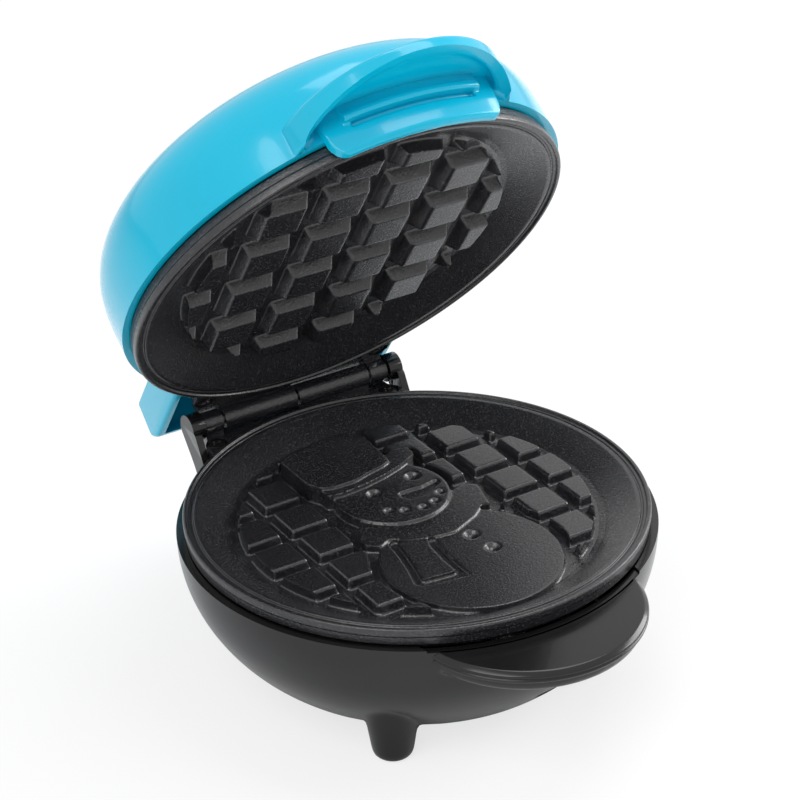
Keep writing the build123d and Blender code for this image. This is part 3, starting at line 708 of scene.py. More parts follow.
def softened(corners: Outline, radius: float, steps: int = 4, closed: bool = False) -> list[Pair]:
    """Round the corners of a flat run of points.

    Args:
        corners: The sharp corners.
        radius: How far from each corner the curve starts.
        steps: Points on each curve.
        closed: Whether the run is a closed outline.

    Returns:
        The points of the rounded run.
    """
    points = [Vector(corner) for corner in corners]
    count = len(points)
    made: list[Pair] = []
    for index, corner in enumerate(points):
        if not closed and index in (0, count - 1):
            made.append(tuple(corner))
            continue
        back, on = points[index - 1] - corner, points[(index + 1) % count] - corner
        start = corner + back.normalized() * min(radius, back.length * 0.45)
        end = corner + on.normalized() * min(radius, on.length * 0.45)
        for step in range(steps + 1):
            t = step / steps
            spot = start * (1 - t) ** 2 + corner * 2 * t * (1 - t) + end * t ** 2
            made.append(tuple(spot))
    return made


def mirrored(piece: Piece) -> Piece:
    """A piece together with its mirror image across the middle, as one mesh."""
    return Bench.modify(piece, "MIRROR", use_axis=(True, False, False), use_mirror_merge=False)


# ---- base


@dataclass
class BaseShell:
    """Black standing half: bowl, handle shelf, hinge cheeks, feet and supply entry."""

    black: Finish
    radius: float = 63.5
    rim: float = -7.0
    wall: float = 2.2
    depth: float = 41.0
    oval: float = 49.0
    oval_centre: float = -7.6
    feet: Outline = ((-31.3, -36.5), (36.5, -31.3), (31.3, 36.5), (-36.5, 31.3))
    foot_height: float = 7.5
    shelf_radius: float = 31.5
    shelf_centre: float = -49.0
    shelf_top: float = -7.6
    shelf_thickness: float = 3.6
    inlet_reach: float = 68.4
    vents: Sequence[float] = (6.0, 22.0)

    def bowl(self, inset: float, top: float, steps: int) -> Piece:
        """Solid of the bowl's form.

        Args:
            inset: How far it is drawn in.
            top: Level of its top.
            steps: Steps of the turn.

        Returns:
            The turned solid.
        """
        radius, oval, low = self.radius - inset, self.oval - inset, -self.depth + inset
        profile: list[Pair] = [(0.0, top), (radius, top), (radius, self.oval_centre)]
        drop = (self.oval_centre - low) / oval
        for step in range(1, 33):
            share = math.sin(step / 32 * math.asin(drop))
            profile.append((radius * math.sqrt(1 - share ** 2), self.oval_centre - oval * share))
        profile.append((0.0, low))
        return Bench.turned("bowl", profile, steps)

    def foot(self) -> Piece:
        """One tapered peg foot with a rounded tip."""
        low = -self.depth - self.foot_height
        profile = [(0.0, 0.0), (3.7, 0.0), (4.7, 0.3), (5.25, 1.1), (5.5, 2.2), (8.2, 20.5), (0.0, 21.5)]
        return Bench.turned("foot", [(r, low + rise) for r, rise in profile], 64)

    def shell(self) -> Piece:
        """Bowl with its feet, rear bridge, supply boss and the swell under the shelf."""
        body = self.bowl(0.0, self.rim + 4.0, 160)
        foot = self.foot()
        feet = [Bench.copy(foot, "foot", Matrix.Translation((x, y, 0))) for x, y in self.feet]
        bpy.data.objects.remove(foot)
        under = [(0.0, -9.0), (30.5, -9.0), (30.2, -13.2), (25.5, -15.4), (17.0, -19.4), (0.0, -20.0)]
        swell = Bench.turned("swell", softened(under, 1.2), 96, centre=(0.0, self.shelf_centre))
        rear = [(46, -7.2), (62.6, -7.2), (59.6, -13.6), (54, -24), (46, -24)]
        bridge = Bench.prism("bridge", rear, -34, 34, Sheet.SIDE)
        inlet = Bench.box("inlet", (-13, 45, -31), (13, self.inlet_reach, -14))
        with Bench.editing(inlet, "EDGE"):
            edges = bmesh.from_edit_mesh(inlet.data)
            for edge in edges.edges:
                along = edge.verts[0].co - edge.verts[1].co
                edge.select_set(abs(along.y) > 1)
            bmesh.update_edit_mesh(inlet.data)
            bpy.ops.mesh.bevel(offset=4.0, segments=5)
        body = Bench.combine(body, Join.ADD, *feet, swell, bridge, inlet)
        body = Bench.cast(body, 0.7, 5)

        def plain(co: Vector) -> float:
            """Weight of the places where nothing joins the bowl."""
            below = min(math.hypot(co.x - x, co.y - y) for x, y in self.feet) - 9.5
            front = math.hypot(co.x, co.y - self.shelf_centre) - 32.0
            rear = max(46.0 - co.y, abs(co.x) - 36.0)
            return min(below if co.z < -25 else 60.0, front if co.z > -23 else 60.0, rear) / 2.5

        body = Bench.hug(body, self.bowl(0.0, self.rim + 4.0, 256), plain)
        waste = Bench.box("waste", (-90, -90, self.rim), (90, 90, 10))
        notch = Bench.drum("notch", self.shelf_radius + 1.0, self.shelf_top, 0.0, 0.0, self.shelf_centre, 96)
        return self.hollowed(Bench.combine(body, Join.CUT, waste, notch))

    def hollowed(self, body: Piece) -> Piece:
        """Cut the room inside, the slots, the screw wells and the supply hole.

        Args:
            body: The solid outer form.

        Returns:
            The open shell.
        """
        room = self.bowl(self.wall, 0.0, 96)
        slot = Bench.box("slot", (-3.5, -8.0, -1.2), (3.5, 8.0, 1.2))
        lean = Matrix.Translation((0, -53.5, -36)) @ Matrix.Rotation(math.radians(40), 4, "X")
        slots = [Bench.copy(slot, "slot", Matrix.Rotation(math.radians(angle), 4, "Z") @ lean)
                 for angle in self.vents]
        bpy.data.objects.remove(slot)
        hole = Bench.drum("hole", 4.6, 40, 72, 0, INLET_Z, 48, Sheet.FRONT)
        pilots = [Bench.drum("pilot", 1.5, -13.5, 0, side * LUG_SCREW_X, LUG_SCREW_Y, 32)
                  for side in (-1, 1)]
        wells = [Bench.drum("well", 3.0, -60, -39.0, x, y, 40) for x, y in self.feet]
        body.name = "base_shell"
        return Bench.combine(body, Join.CUT, room, *slots, hole, *pilots, *wells)

    def shelf(self) -> Piece:
        """Crescent handle shelf with a fine parting groove round its edge."""
        top, low = self.shelf_top, self.shelf_top - self.shelf_thickness
        r = self.shelf_radius
        profile = [(0.0, low), (r - 1.6, low), (r - 0.1, low + 0.9), (r, low + 1.5), (r - 0.35, low + 1.7),
                   (r - 0.35, low + 1.95), (r, low + 2.15), (r - 0.1, top - 0.9), (r - 1.3, top), (0.0, top)]
        shelf = Bench.turned("base_shelf", softened(profile, 0.35, 3), 160, centre=(0.0, self.shelf_centre))
        return Bench.combine(shelf, Join.CUT, self.bowl(0.5, 0.0, 160))

    def cheek(self) -> Piece:
        """Hinge cheek with a round ear, and its twin on the other side."""
        outline = [(60.6, 0.4), (68.9, 0.4), (68.2, -2.4), (62.8, -9), (59.8, -13.6), (52, -13.6),
                   (56.4, -7.2)]
        arm = Bench.prism("hinge_cheeks", softened(outline, 1.2, 3, True), 31.9, 34.0, Sheet.SIDE)
        ear = Bench.drum("ear", 4.0, 29.9, 34.0, HINGE_REACH, 0.0, 64, Sheet.SIDE)
        seat = Bench.drum("seat", PIN_FIT, 28, 31.9, HINGE_REACH, 0.0, 32, Sheet.SIDE)
        arm = Bench.combine(Bench.combine(arm, Join.ADD, ear), Join.CUT, seat)
        return mirrored(Bench.round_edges(arm, 0.45, 3))

    def build(self) -> None:
        """Model and place the pieces of the black half."""
        Bench.settle(self.shell(), Half.BASE, self.black, ["base_housing"], 40.0)
        for piece in (self.shelf(), self.cheek()):
            Bench.settle(piece, Half.BASE, self.black)


# ---- lid


@dataclass
class LidShell:
    """Aqua lid: dome with its visor, grip tab and the tail behind the hinge."""

    aqua: Finish
    radius: float = 63.2
    rim: float = 7.0
    shoulder: float = 11.0
    height: float = 41.6
    squareness: float = 3.2
    wall: float = 2.2
    visor_radius: float = 31.5
    visor_centre: float = -49.0
    visor_top: float = 15.5
    visor_wall: float = 2.6
    visor_edge: float = 3.0
    tab_radius: float = 65.4
    tab_half: float = 24.0
    tail_half: float = 36.7
    tail_reach: float = 84.1

    def dome(self, inset: float, low: float, steps: int) -> Piece:
        """Solid of the dome's form.

        Args:
            inset: How far it is drawn in.
            low: Level of its flat underside.
            steps: Steps of the turn.

        Returns:
            The turned solid.
        """
        radius, rise = self.radius - inset, self.height - inset - self.shoulder
        power = 2 / self.squareness
        profile: list[Pair] = [(0.0, low), (radius, low)]
        for step in range(49):
            angle = (1 - math.cos(step / 48 * math.pi)) * math.pi / 4
            r = radius * abs(math.cos(angle)) ** power if step < 48 else 0.0
            profile.append((r, self.shoulder + rise * math.sin(angle) ** power))
        return Bench.turned("dome", profile, steps)

    def visor(self) -> Piece:
        """Crescent visor with an arched lower edge and a hollow under it."""
        r, low, top = self.visor_radius - 0.6, self.rim - 3.0, self.visor_top - 0.35
        profile = [(0.0, low), (r, low), (r - 0.15, top - 1.0), (r - 1.6, top), (0.0, top + 0.6)]
        visor = Bench.turned("visor", softened(profile, 1.3, 4), 160, centre=(0.0, self.visor_centre))
        inner, ceiling = r - self.visor_wall, top - self.visor_wall
        profile = [(0.0, low - 3), (inner, low - 3), (inner - 0.2, ceiling), (0.0, ceiling)]
        room = Bench.turned("room", softened(profile, 1.2), 128, centre=(0.0, self.visor_centre))
        return Bench.combine(visor, Join.CUT, room, self.arch(0.0))

    def arch(self, sink: float) -> Piece:
        """Arched cut under the front of the visor.

        Args:
            sink: How far the cut stays below the finished edge.

        Returns:
            The cutter.
        """
        arch = Bench.drum("arch", 10.0, -100, self.visor_centre, 0.0, 0.0, 128, Sheet.FRONT)
        rise = self.visor_top - self.visor_edge - self.rim - sink
        stretch = Matrix.Diagonal((self.visor_radius * 0.093, 1, rise / 10, 1))
        arch.data.transform(Matrix.Translation((0, 0, self.rim)) @ stretch)
        return arch

    def band(self) -> Piece:
        """Crisp outer band of the visor, cut clear of the dome."""
        r, low, top = self.visor_radius, self.rim, self.visor_top
        profile = [(r - 2.5, low), (r - 0.3, low), (r, low + 0.5), (r - 0.1, top - 1.3),
                   (r - 0.3, top - 0.6), (r - 0.8, top - 0.15), (r - 1.5, top), (r - 2.5, top - 0.05)]
        band = Bench.turned("lid_visor_band", softened(profile, 0.5, 4, True), 288, True,
                            (0.0, self.visor_centre))
        return Bench.combine(band, Join.CUT, self.arch(0.25), self.dome(0.3, 0.0, 192))

    def shell(self) -> Piece:
        """Dome and visor melted together, then hollowed."""
        body = Bench.combine(self.dome(0.0, self.rim - 3.0, 160), Join.ADD, self.visor())
        body = Bench.cast(body, 0.6, 4)

        def valley(co: Vector) -> float:
            """Weight of the hollow line where the visor's top meets the dome."""
            from_rim = self.visor_radius - 4.0 - math.hypot(co.x, co.y - self.visor_centre)
            above = min(co.z - self.visor_top + 1.0, self.visor_top + 8.0 - co.z)
            return min(from_rim + 6.0, above) / 2.0 if co.z > self.visor_top - 1.2 else 0.0

        group = Bench.weigh(body, valley)
        Bench.modify(body, "SMOOTH", factor=0.6, iterations=70, vertex_group=group)
        body.vertex_groups.clear()

        def plain(co: Vector) -> float:
            """Weight of the places where the visor doesn't reach."""
            away = math.hypot(co.x, co.y - self.visor_centre) - self.visor_radius - 1.5
            return max(away, co.z - self.visor_top - 9.0) / 3.0

        body = Bench.hug(body, self.dome(0.0, self.rim - 3.0, 256), plain)
        waste = Bench.box("waste", (-90, -100, -10), (90, 90, self.rim))
        lens_seat = Bench.drum("lens_seat", 4.6, 30, 50, 0.0, LENS_Y, 64)
        body.name = "lid_shell"
        return Bench.combine(body, Join.CUT, waste, self.dome(self.wall, self.rim - 5, 128), lens_seat)

    def tab(self) -> Piece:
        """Grip tab that hangs from under the visor, with its raised lip and slot."""
        outer, half = self.tab_radius, self.tab_half
        inner, top = outer - 2.4, self.visor_top - self.visor_wall + 0.6
        ring = [(inner, 0.5), (outer - 0.9, 0.5), (outer, 1.4), (outer, top), (inner, top)]
        right = [(half - 4.6, 0.0), (half - 1.6, 1.2), (half - 0.2, 4.0), (half, 6.0), (half + 1.2, 20.0)]
        left = [(-x, z) for x, z in reversed(right)]
        sides = [left[-1], *right, *left[:-1]]
        lip = [(outer - 1.5, 8.1), (outer + 1.3, 8.1), (outer + 1.8, 8.7), (outer + 1.8, 9.8),
               (outer + 1.2, 10.6), (outer + 1.0, 11.4), (outer + 1.0, top), (outer - 1.5, top)]
        ends = [(-19.0, 6.5), (19.0, 6.5), (20.0, 20.0), (-20.0, 20.0)]
        slit = [(outer - 1.4, 6.6), (outer + 4.0, 6.6), (outer + 4.0, 8.2), (outer - 1.4, 8.2)]
        face = Bench.prism("face", softened(sides, 1.6, 4, True), -80, -40, Sheet.FRONT)
        tongue = Bench.prism("tongue", softened(ends, 1.8, 5, True), -80, -40, Sheet.FRONT)
        span = Bench.box("span", (-17.4, -80, 5), (17.4, -40, 10))
        rows = (("lid_tab", ring, face), ("block", softened(lip, 0.6, 4, True), tongue), ("slot", slit, span))
        tab, block, slot = (Bench.combine(Bench.turned(name, profile, 320, True), Join.KEEP, stencil)
                            for name, profile, stencil in rows)
        return Bench.cast(Bench.combine(Bench.combine(tab, Join.ADD, block), Join.CUT, slot), 0.28, 2)

    def tail(self) -> Piece:
        """Open-bottomed box that carries the lid's outline on behind the hinge."""
        low, reach, top, half = self.rim - 0.2, self.tail_reach, 19.8, self.tail_half
        outline = [(46, low), (reach - 3.7, low), (reach, low + 2.4), (reach - 1.9, top), (46, top)]
        body = Bench.prism("lid_tail", softened(outline, 1.4, 3, True), -half, half, Sheet.SIDE)
        body = Bench.round_edges(body, 1.0, 4, 50.0)
        ceiling, side = top - self.wall, half - self.wall
        hollow = [(40, low - 1), (reach - 5.6, low - 1), (reach - 2.8, low + 4), (reach - 4.2, ceiling),
                  (40, ceiling)]
        room = Bench.prism("room", softened(hollow, 0.8, 3, True), -side, side, Sheet.SIDE)
        body = Bench.combine(body, Join.CUT, room, self.dome(self.wall / 2, 0.0, 128))
        boss = mirrored(Bench.drum("boss", 3.6, self.rim + 0.2, 15.0, LUG_SCREW_X, LUG_SCREW_Y, 48))
        return Bench.gather(body, [boss])

    def build(self) -> None:
        """Model and place the pieces of the aqua lid."""
        Bench.settle(self.shell(), Half.LID, self.aqua, ["lid_cover"], 40.0)
        Bench.settle(self.band(), Half.LID, self.aqua, angle=30.0)
        Bench.settle(self.tab(), Half.LID, self.aqua, angle=60.0)
        Bench.settle(self.tail(), Half.LID, self.aqua)


# ---- plates


@dataclass
class Snowman:
    """Plain seasonal figure that steps up from body to hat on the lower plate's floor."""

    floor: float
    body: tuple[float, float, float] = (0.0, -26.0, 23.8)
    head: tuple[float, float, float] = (-1.1, 10.8, 15.6)
    body_rise: float = 1.6
    scarf_rise: float = 2.2
    head_rise: float = 3.1
    brim_rise: float = 4.5
    crown_rise: float = 5.6
    channel: float = 2.6
    groove: float = 0.9
    crown: Outline = ((-19.6, 24.0), (-17.6, 19.8), (-14.1, 18.4), (-7.8, 18.4), (-2.2, 20.1),
                      (2.6, 21.1), (5.1, 22.3), (5.4, 24.1), (6.6, 38.0), (0.8, 41.0), (-8.1, 42.0),
                      (-19.6, 38.4))
    brim: Outline = ((-17.5, 20.6), (-17.4, 16.4), (-12.5, 15.9), (-5.9, 16.5), (1.3, 18.0),
                     (7.2, 19.9), (11.8, 22.1), (13.9, 23.2), (14.4, 27.7), (8.5, 27.7), (0.0, 24.0),
                     (-10.0, 22.0))
    scarf: Outline = ((-14.5, 4.5), (-17.7, 0.8), (-20.1, -4.2), (-20.1, -7.2), (-17.0, -9.5),
                      (-13.5, -7.5), (-9.0, -11.0), (-2.3, -13.3), (2.9, -13.9), (11.7, -10.1),
                      (16.4, -6.4), (18.3, -7.8), (19.0, -4.5), (21.3, 2.9), (18.0, 5.2), (14.0, 4.0))
    hollow: Outline = ((-12.4, -8.0), (-14.4, -8.8), (-15.1, -14.8), (-16.8, -22.3), (-18.9, -29.4),
                       (-16.3, -31.2), (-4.6, -33.0), (-4.4, -22.8), (-3.6, -15.8), (-1.0, -10.0))
    end: Outline = ((-12.2, -9.5), (-13.0, -14.8), (-14.6, -22.3), (-16.4, -28.6), (-7.0, -29.8),
                    (-6.8, -22.8), (-6.0, -15.8), (-3.2, -9.0))
    nose: Outline = ((0.3, 9.8), (-0.1, 7.2), (1.5, 4.8), (5.8, 5.0), (12.5, 8.1), (12.8, 10.5), (7.6, 9.4))

    def step(self, outline: Outline, rise: float, grow: float = 0.0) -> Piece:
        """One step of the figure, from below the floor to its own level.

        Args:
            outline: Corners of the step.
            rise: Height above the floor.
            grow: How far the outline is grown outwards.

        Returns:
            The solid.
        """
        step = Bench.prism("step", softened(outline, 0.9, 3, True), -self.floor - 1.0, -self.floor + rise)
        if grow > 0:
            with Bench.editing(step):
                Bench.pick(step, lambda centre, normal: abs(normal.z) < 0.5)
                bpy.ops.transform.shrink_fatten(value=grow, use_even_offset=True)
        return step

    def disc(self, spot: tuple[float, float, float], rise: float, grow: float = 0.0) -> Piece:
        """Round step of the figure from its centre and radius, up to a rise and grown outwards."""
        x, y, radius = spot
        return Bench.drum("disc", radius + grow, -self.floor - 1.0, -self.floor + rise, x, y, 128)

    def surround(self) -> list[Piece]:
        """Rooms that the figure and its channel take out of the waffle blocks."""
        outlines = (self.crown, self.brim, self.scarf)
        rooms = [self.step(outline, self.floor, self.channel) for outline in outlines]
        return rooms + [self.disc(spot, self.floor, self.channel) for spot in (self.body, self.head)]

    def raised(self) -> Piece:
        """The figure with its scarf end, dimples and nose."""
        face, front = self.head_rise - self.floor, self.body_rise - self.floor
        hollow = Bench.prism("hollow", softened(self.hollow, 0.8, 3, True), front - self.groove, 0.0)
        figure = Bench.combine(self.disc(self.body, self.body_rise), Join.CUT, hollow)
        steps = [self.step(self.end, self.body_rise + 0.3), self.step(self.scarf, self.scarf_rise),
                 self.disc(self.head, self.head_rise), self.step(self.brim, self.brim_rise),
                 self.step(self.crown, self.crown_rise)]
        figure = Bench.combine(figure, Join.ADD, *steps)
        rows = ((face, 2.4, ((-5.1, 13.1), (8.3, 15.2))), (front, 2.4, ((6.2, -16.9), (7.3, -25.1))),
                (face, 1.6, ((-6.5, 3.4), (-2.8, 1.2), (2.2, -0.1), (6.4, 0.8), (10.0, 4.0))))
        for level, size, spots in rows:
            dimples = [Bench.start("dimple", bpy.ops.mesh.primitive_uv_sphere_add, segments=32, ring_count=16,
                                   radius=size, location=(x, y, level + size * 0.35)) for x, y in spots]
            figure = Bench.combine(figure, Join.CUT, *dimples)
        nose = Bench.prism("nose", softened(self.nose, 0.8, 3, True), face - self.groove, face + 1.0)
        return Bench.combine(figure, Join.CUT, nose)


@dataclass
class Grill:
    """Cast cooking plate: blocked floor, stepped rim, rear lug and knuckles."""

    half: Half
    cast: Finish
    node: str
    floor: float
    floor_radius: float
    pitch: float
    start: Pair
    block_width: float
    draft: float
    figure: bool
    voxel: float = 0.34
    block_top: float = 5.0
    margin: float = 1.2
    cavity: float = 57.9
    outer: float = 61.6
    skirt: float = 59.8
    thickness: float = 3.2
    barrel: float = 3.2
    barrel_half: float = 29.4
    short_knuckle: float = 5.4
    gap: float = 0.8

    def block(self) -> Piece:
        """One waffle block: a cube whose top is drawn in and whose edges are eased."""
        rise = self.floor - self.block_top
        foot = self.block_width + 2 * rise * math.tan(math.radians(self.draft))
        low, high = (-foot / 2, -foot / 2, -self.floor - 0.01), (foot / 2, foot / 2, -self.block_top)
        block = Bench.box("block", low, high)
        with Bench.editing(block):
            Bench.pick(block, lambda centre, normal: normal.z > 0.9)
            share = self.block_width / foot
            bpy.ops.transform.resize(value=(share, share, 1))
            Bench.pick(block, lambda centre, normal: normal.z < -0.9)
            bpy.ops.mesh.extrude_region_move(TRANSFORM_OT_translate={"value": (0, 0, -0.6)})
        return Bench.round_edges(block, 0.7, 3)

    def relief(self) -> Piece:
        """Floor disc with every block, clipped to the floor and the figure."""
        limit = self.floor_radius - self.margin
        low = -self.floor - 1.4
        block = self.block()
        foot = self.block_width / 2 + (self.floor - self.block_top) * math.tan(math.radians(self.draft))
        reach = math.ceil(limit / self.pitch)
        copies = []
        for column in range(-reach, reach + 1):
            for row in range(-reach, reach + 1):
                x, y = self.start[0] + column * self.pitch, self.start[1] + row * self.pitch
                if math.hypot(max(abs(x) - foot, 0), max(abs(y) - foot, 0)) < limit - 0.4:
                    copies.append(Bench.copy(block, "block", Matrix.Translation((x, y, 0))))
        blocks = Bench.gather(copies[0], copies[1:])
        bpy.data.objects.remove(block)
        blocks = Bench.combine(blocks, Join.KEEP, Bench.drum("limit", limit, low, 0, steps=160))
        if self.figure:
            figure = Snowman(self.floor)
            blocks = Bench.combine(blocks, Join.CUT, *figure.surround())
            blocks = Bench.combine(blocks, Join.ADD, figure.raised())
        disc = Bench.drum("disc", self.floor_radius + 0.6, low - 2.0, -self.floor, steps=160)
        floor = Bench.combine(disc, Join.ADD, blocks)
        floor = Bench.cast(floor, self.voxel, 2)
        return Bench.combine(floor, Join.CUT, Bench.drum("waste", 60, -30, low, steps=48))

    def rim(self) -> Piece:
        """Sloped wall, grooved land, stepped side, skirt and underside as one turned ring."""
        c, o, f, r = self.cavity, self.outer, self.floor, self.floor_radius
        under = f + self.thickness
        profile = [(r - 1.0, -f - 0.3), (r + 0.2, -f + 0.02), (r + 1.7, -f + 0.5), (c - 0.2, -2.75),
                   (c + 0.8, -2.6), (c + 1.0, -3.2), (c + 1.5, -3.2), (c + 1.7, -2.9), (o - 1.3, -2.9),
                   (o - 1.1, -2.2), (o - 0.3, -2.2), (o, -2.5), (o, -4.2), (o - 0.35, -4.45),
                   (o - 0.3, -6.6), (self.skirt, -6.6), (self.skirt, -8.2), (r + 2.5, -under),
                   (r - 6, -under), (r - 6, -f - 1.4), (r - 1.0, -f - 1.4)]
        return Bench.turned("rim", softened(profile, 0.28, 3, True), 288, True)

    def underside(self) -> Piece:
        """Flat back of the plate with its three raised bosses."""
        under = -self.floor - self.thickness
        back = Bench.drum("back", self.floor_radius - 5.9, under, -self.floor - 1.4, steps=96)
        with Bench.editing(back):
            Bench.pick(back, lambda centre, normal: normal.z < -0.9)
            bpy.ops.mesh.inset(thickness=2.0)
            bpy.ops.mesh.inset(thickness=1.0)
            bpy.ops.transform.translate(value=(0, 0, -0.05))
        drop = [(0.0, 0.5), (3.9, 0.5), (3.5, -6.4), (1.6, -6.6), (1.5, -3), (0.0, -3)]
        profile = [(r, under + rise) for r, rise in drop]
        bosses = [Bench.turned("boss", profile, 40, centre=(24 * math.cos(turn), 24 * math.sin(turn)))
                  for turn in map(math.radians, (30, 150, 270))]
        return Bench.gather(back, bosses)

    def lug(self) -> Piece:
        """Rear lug with a short and a long knuckle for the pin."""
        left = [(-33, 46), (-31.5, 56), (-31.5, 59.5), (-29.4, 62), (-29.4, 65.8)]
        outline = left + [(-x, y) for x, y in reversed(left)]
        lug = Bench.prism("lug", softened(outline, 0.8, 3, True), -6.6, -3.6)
        lug = Bench.combine(lug, Join.CUT, Bench.drum("bite", self.cavity + 2.2, -20, 0, steps=128))
        start, end = self.gap / 2, self.barrel_half - self.short_knuckle - self.gap
        short = (-self.barrel_half, -self.barrel_half + self.short_knuckle)
        for low, high in (short, (start, end)):
            knuckle = Bench.drum("knuckle", self.barrel, low, high, HINGE_REACH, 0.0, 72, Sheet.SIDE)
            foot = Bench.box("foot", (low, HINGE_REACH - 2.4, -4.4), (high, HINGE_REACH + 0.8, -1.5))
            lug = Bench.combine(lug, Join.ADD, Bench.combine(knuckle, Join.ADD, foot))
        pin_hole = Bench.drum("pin_hole", PIN_FIT, -31, 31, HINGE_REACH, 0.0, 40, Sheet.SIDE)
        lug = Bench.combine(lug, Join.CUT, pin_hole)
        for x in (-LUG_SCREW_X, LUG_SCREW_X):
            lug = Bench.combine(lug, Join.CUT, Bench.drum("hole", 1.7, -20, 0, x, LUG_SCREW_Y, 32),
                                Bench.drum("seat", 2.95, -5.5, 0, x, LUG_SCREW_Y, 40))
        return Bench.round_edges(lug, 0.3, 2, 40.0)

    def build(self) -> None:
        """Model the plate, turn it over for the lid, and place it."""
        pieces = {"floor": self.relief(), "rim": self.rim(),
                  "back": self.underside(), "lug": self.lug()}
        for part, piece in pieces.items():
            piece.name = f"{self.node}_{part}"
            if self.half is Half.LID:
                piece.data.transform(Matrix.Rotation(math.pi, 4, "Y"))
            Bench.settle(piece, self.half, self.cast, [self.node] if part == "floor" else [])


# ---- small parts


@dataclass
class SmallParts:
    """Screws, supply gland and pilot light."""

    palette: Palette
    feet: Outline
    head_radius: float = 2.7
    head_height: float = 1.8
    shank_radius: float = 1.4
    lens_top: float = 40.7

    def screw(self, length: float) -> Piece:
        """Pan head screw with a cross recess, head top at the origin.

        Args:
            length: From the head's top to the tip.

        Returns:
            The screw, pointing down.
        """
        r, h = self.head_radius, self.head_height
        profile = [(0.0, 0.05), (1.5, 0.0), (2.3, -0.3), (r, -0.9), (r, -h), (self.shank_radius, -h),
                   (self.shank_radius, -length + 1.0), (0.5, -length), (0.0, -length)]
        body = Bench.turned("screw", softened(profile, 0.25, 3), 56)
        for turn in (0, 90):
            arm = Bench.box("arm", (-1.55, -0.38, -1.3), (1.55, 0.38, 0.6))
            with Bench.editing(arm):
                Bench.pick(arm, lambda centre, normal: normal.z < -0.9)
                bpy.ops.transform.resize(value=(0.5, 0.7, 1))
            arm.data.transform(Matrix.Rotation(math.radians(turn + 20), 4, "Z"))
            body = Bench.combine(body, Join.CUT, arm)
        return Bench.round_edges(body, 0.06, 2, 40.0)

    def place_screws(self) -> None:
        """Copy the screws to the lugs and the feet."""
        short, long = self.screw(9.4), self.screw(26.0)
        over = Matrix.Rotation(math.pi, 4, "Y")
        for side, word in ((-1, "left"), (1, "right")):
            at = Matrix.Translation((side * LUG_SCREW_X, LUG_SCREW_Y, -3.7))
            low = Bench.copy(short, f"lower_lug_screw_{word}", at)
            Bench.settle(low, Half.BASE, self.palette.screw, ["lower_lug_screws"])
            high = Bench.copy(short, f"upper_lug_screw_{word}", over @ at @ Matrix.Rotation(0.6, 4, "Z"))
            Bench.settle(high, Half.LID, self.palette.screw, ["upper_lug_screws"])
        for number, (x, y) in enumerate(self.feet, 1):
            foot = Bench.copy(long, f"foot_screw_{number}", Matrix.Translation((x, y, -40.8)) @ over)
            Bench.settle(foot, Half.BASE, self.palette.zinc, ["foot_screws"])
        for model in (short, long):
            bpy.data.objects.remove(model)

    def gland(self) -> Piece:
        """Ribbed bushing round the supply entry."""
        start, outer, end = 57.5, 68.4, 70.0
        profile = [(3.1, start), (4.5, start), (4.5, start + 3), (4.2, start + 3.4), (4.2, start + 4.6),
                   (4.5, start + 5), (4.5, outer), (6.2, outer), (6.2, end - 0.5), (5.6, end), (4.4, end),
                   (4.0, end - 0.4), (3.1, end - 0.4)]
        gland = Bench.turned("supply_gland", softened(profile, 0.25, 3, True), 96, True)
        gland.data.transform(Matrix.Translation((0, 0, INLET_Z)) @ Matrix.Rotation(-math.pi / 2, 4, "X"))
        return gland

    def lens(self) -> Piece:
        """Domed lens of the pilot light with its hollow barrel."""
        drop = [(0.0, 0.7), (2.2, 0.6), (3.9, 0.0), (4.5, -0.9), (4.5, -12), (2.7, -12), (2.7, -1.2),
                (0.0, -1.2)]
        profile = [(r, self.lens_top + rise) for r, rise in drop]
        return Bench.turned("pilot_lens", softened(profile, 0.4, 4), 72, centre=(0.0, LENS_Y))

    def build(self) -> None:
        """Model and place the small parts."""
        self.place_screws()
        Bench.settle(self.gland(), Half.BASE, self.palette.rubber, ["cord_gland"])
        Bench.settle(self.lens(), Half.LID, self.palette.lens, ["indicator_lens"])


@dataclass
class InnerParts:
    """CAD nodes that stay as they are and get their finishes."""

    palette: Palette

    def build(self) -> None:
        """Give each carried-over node the finish of its material slot."""
        finishes = {f.slot: f for f in vars(type(self.palette)).values() if isinstance(f, Finish)}
        slots = {row["node"]: row["material_slot"] for row in frame["record"]["subparts"]}
        for name, node in frame["nodes"].items():
            node.data.materials.clear()
            node.data.materials.append(finishes[slots[name]].material())
            log.info("%s keeps its CAD shape", name)


# ---- stage


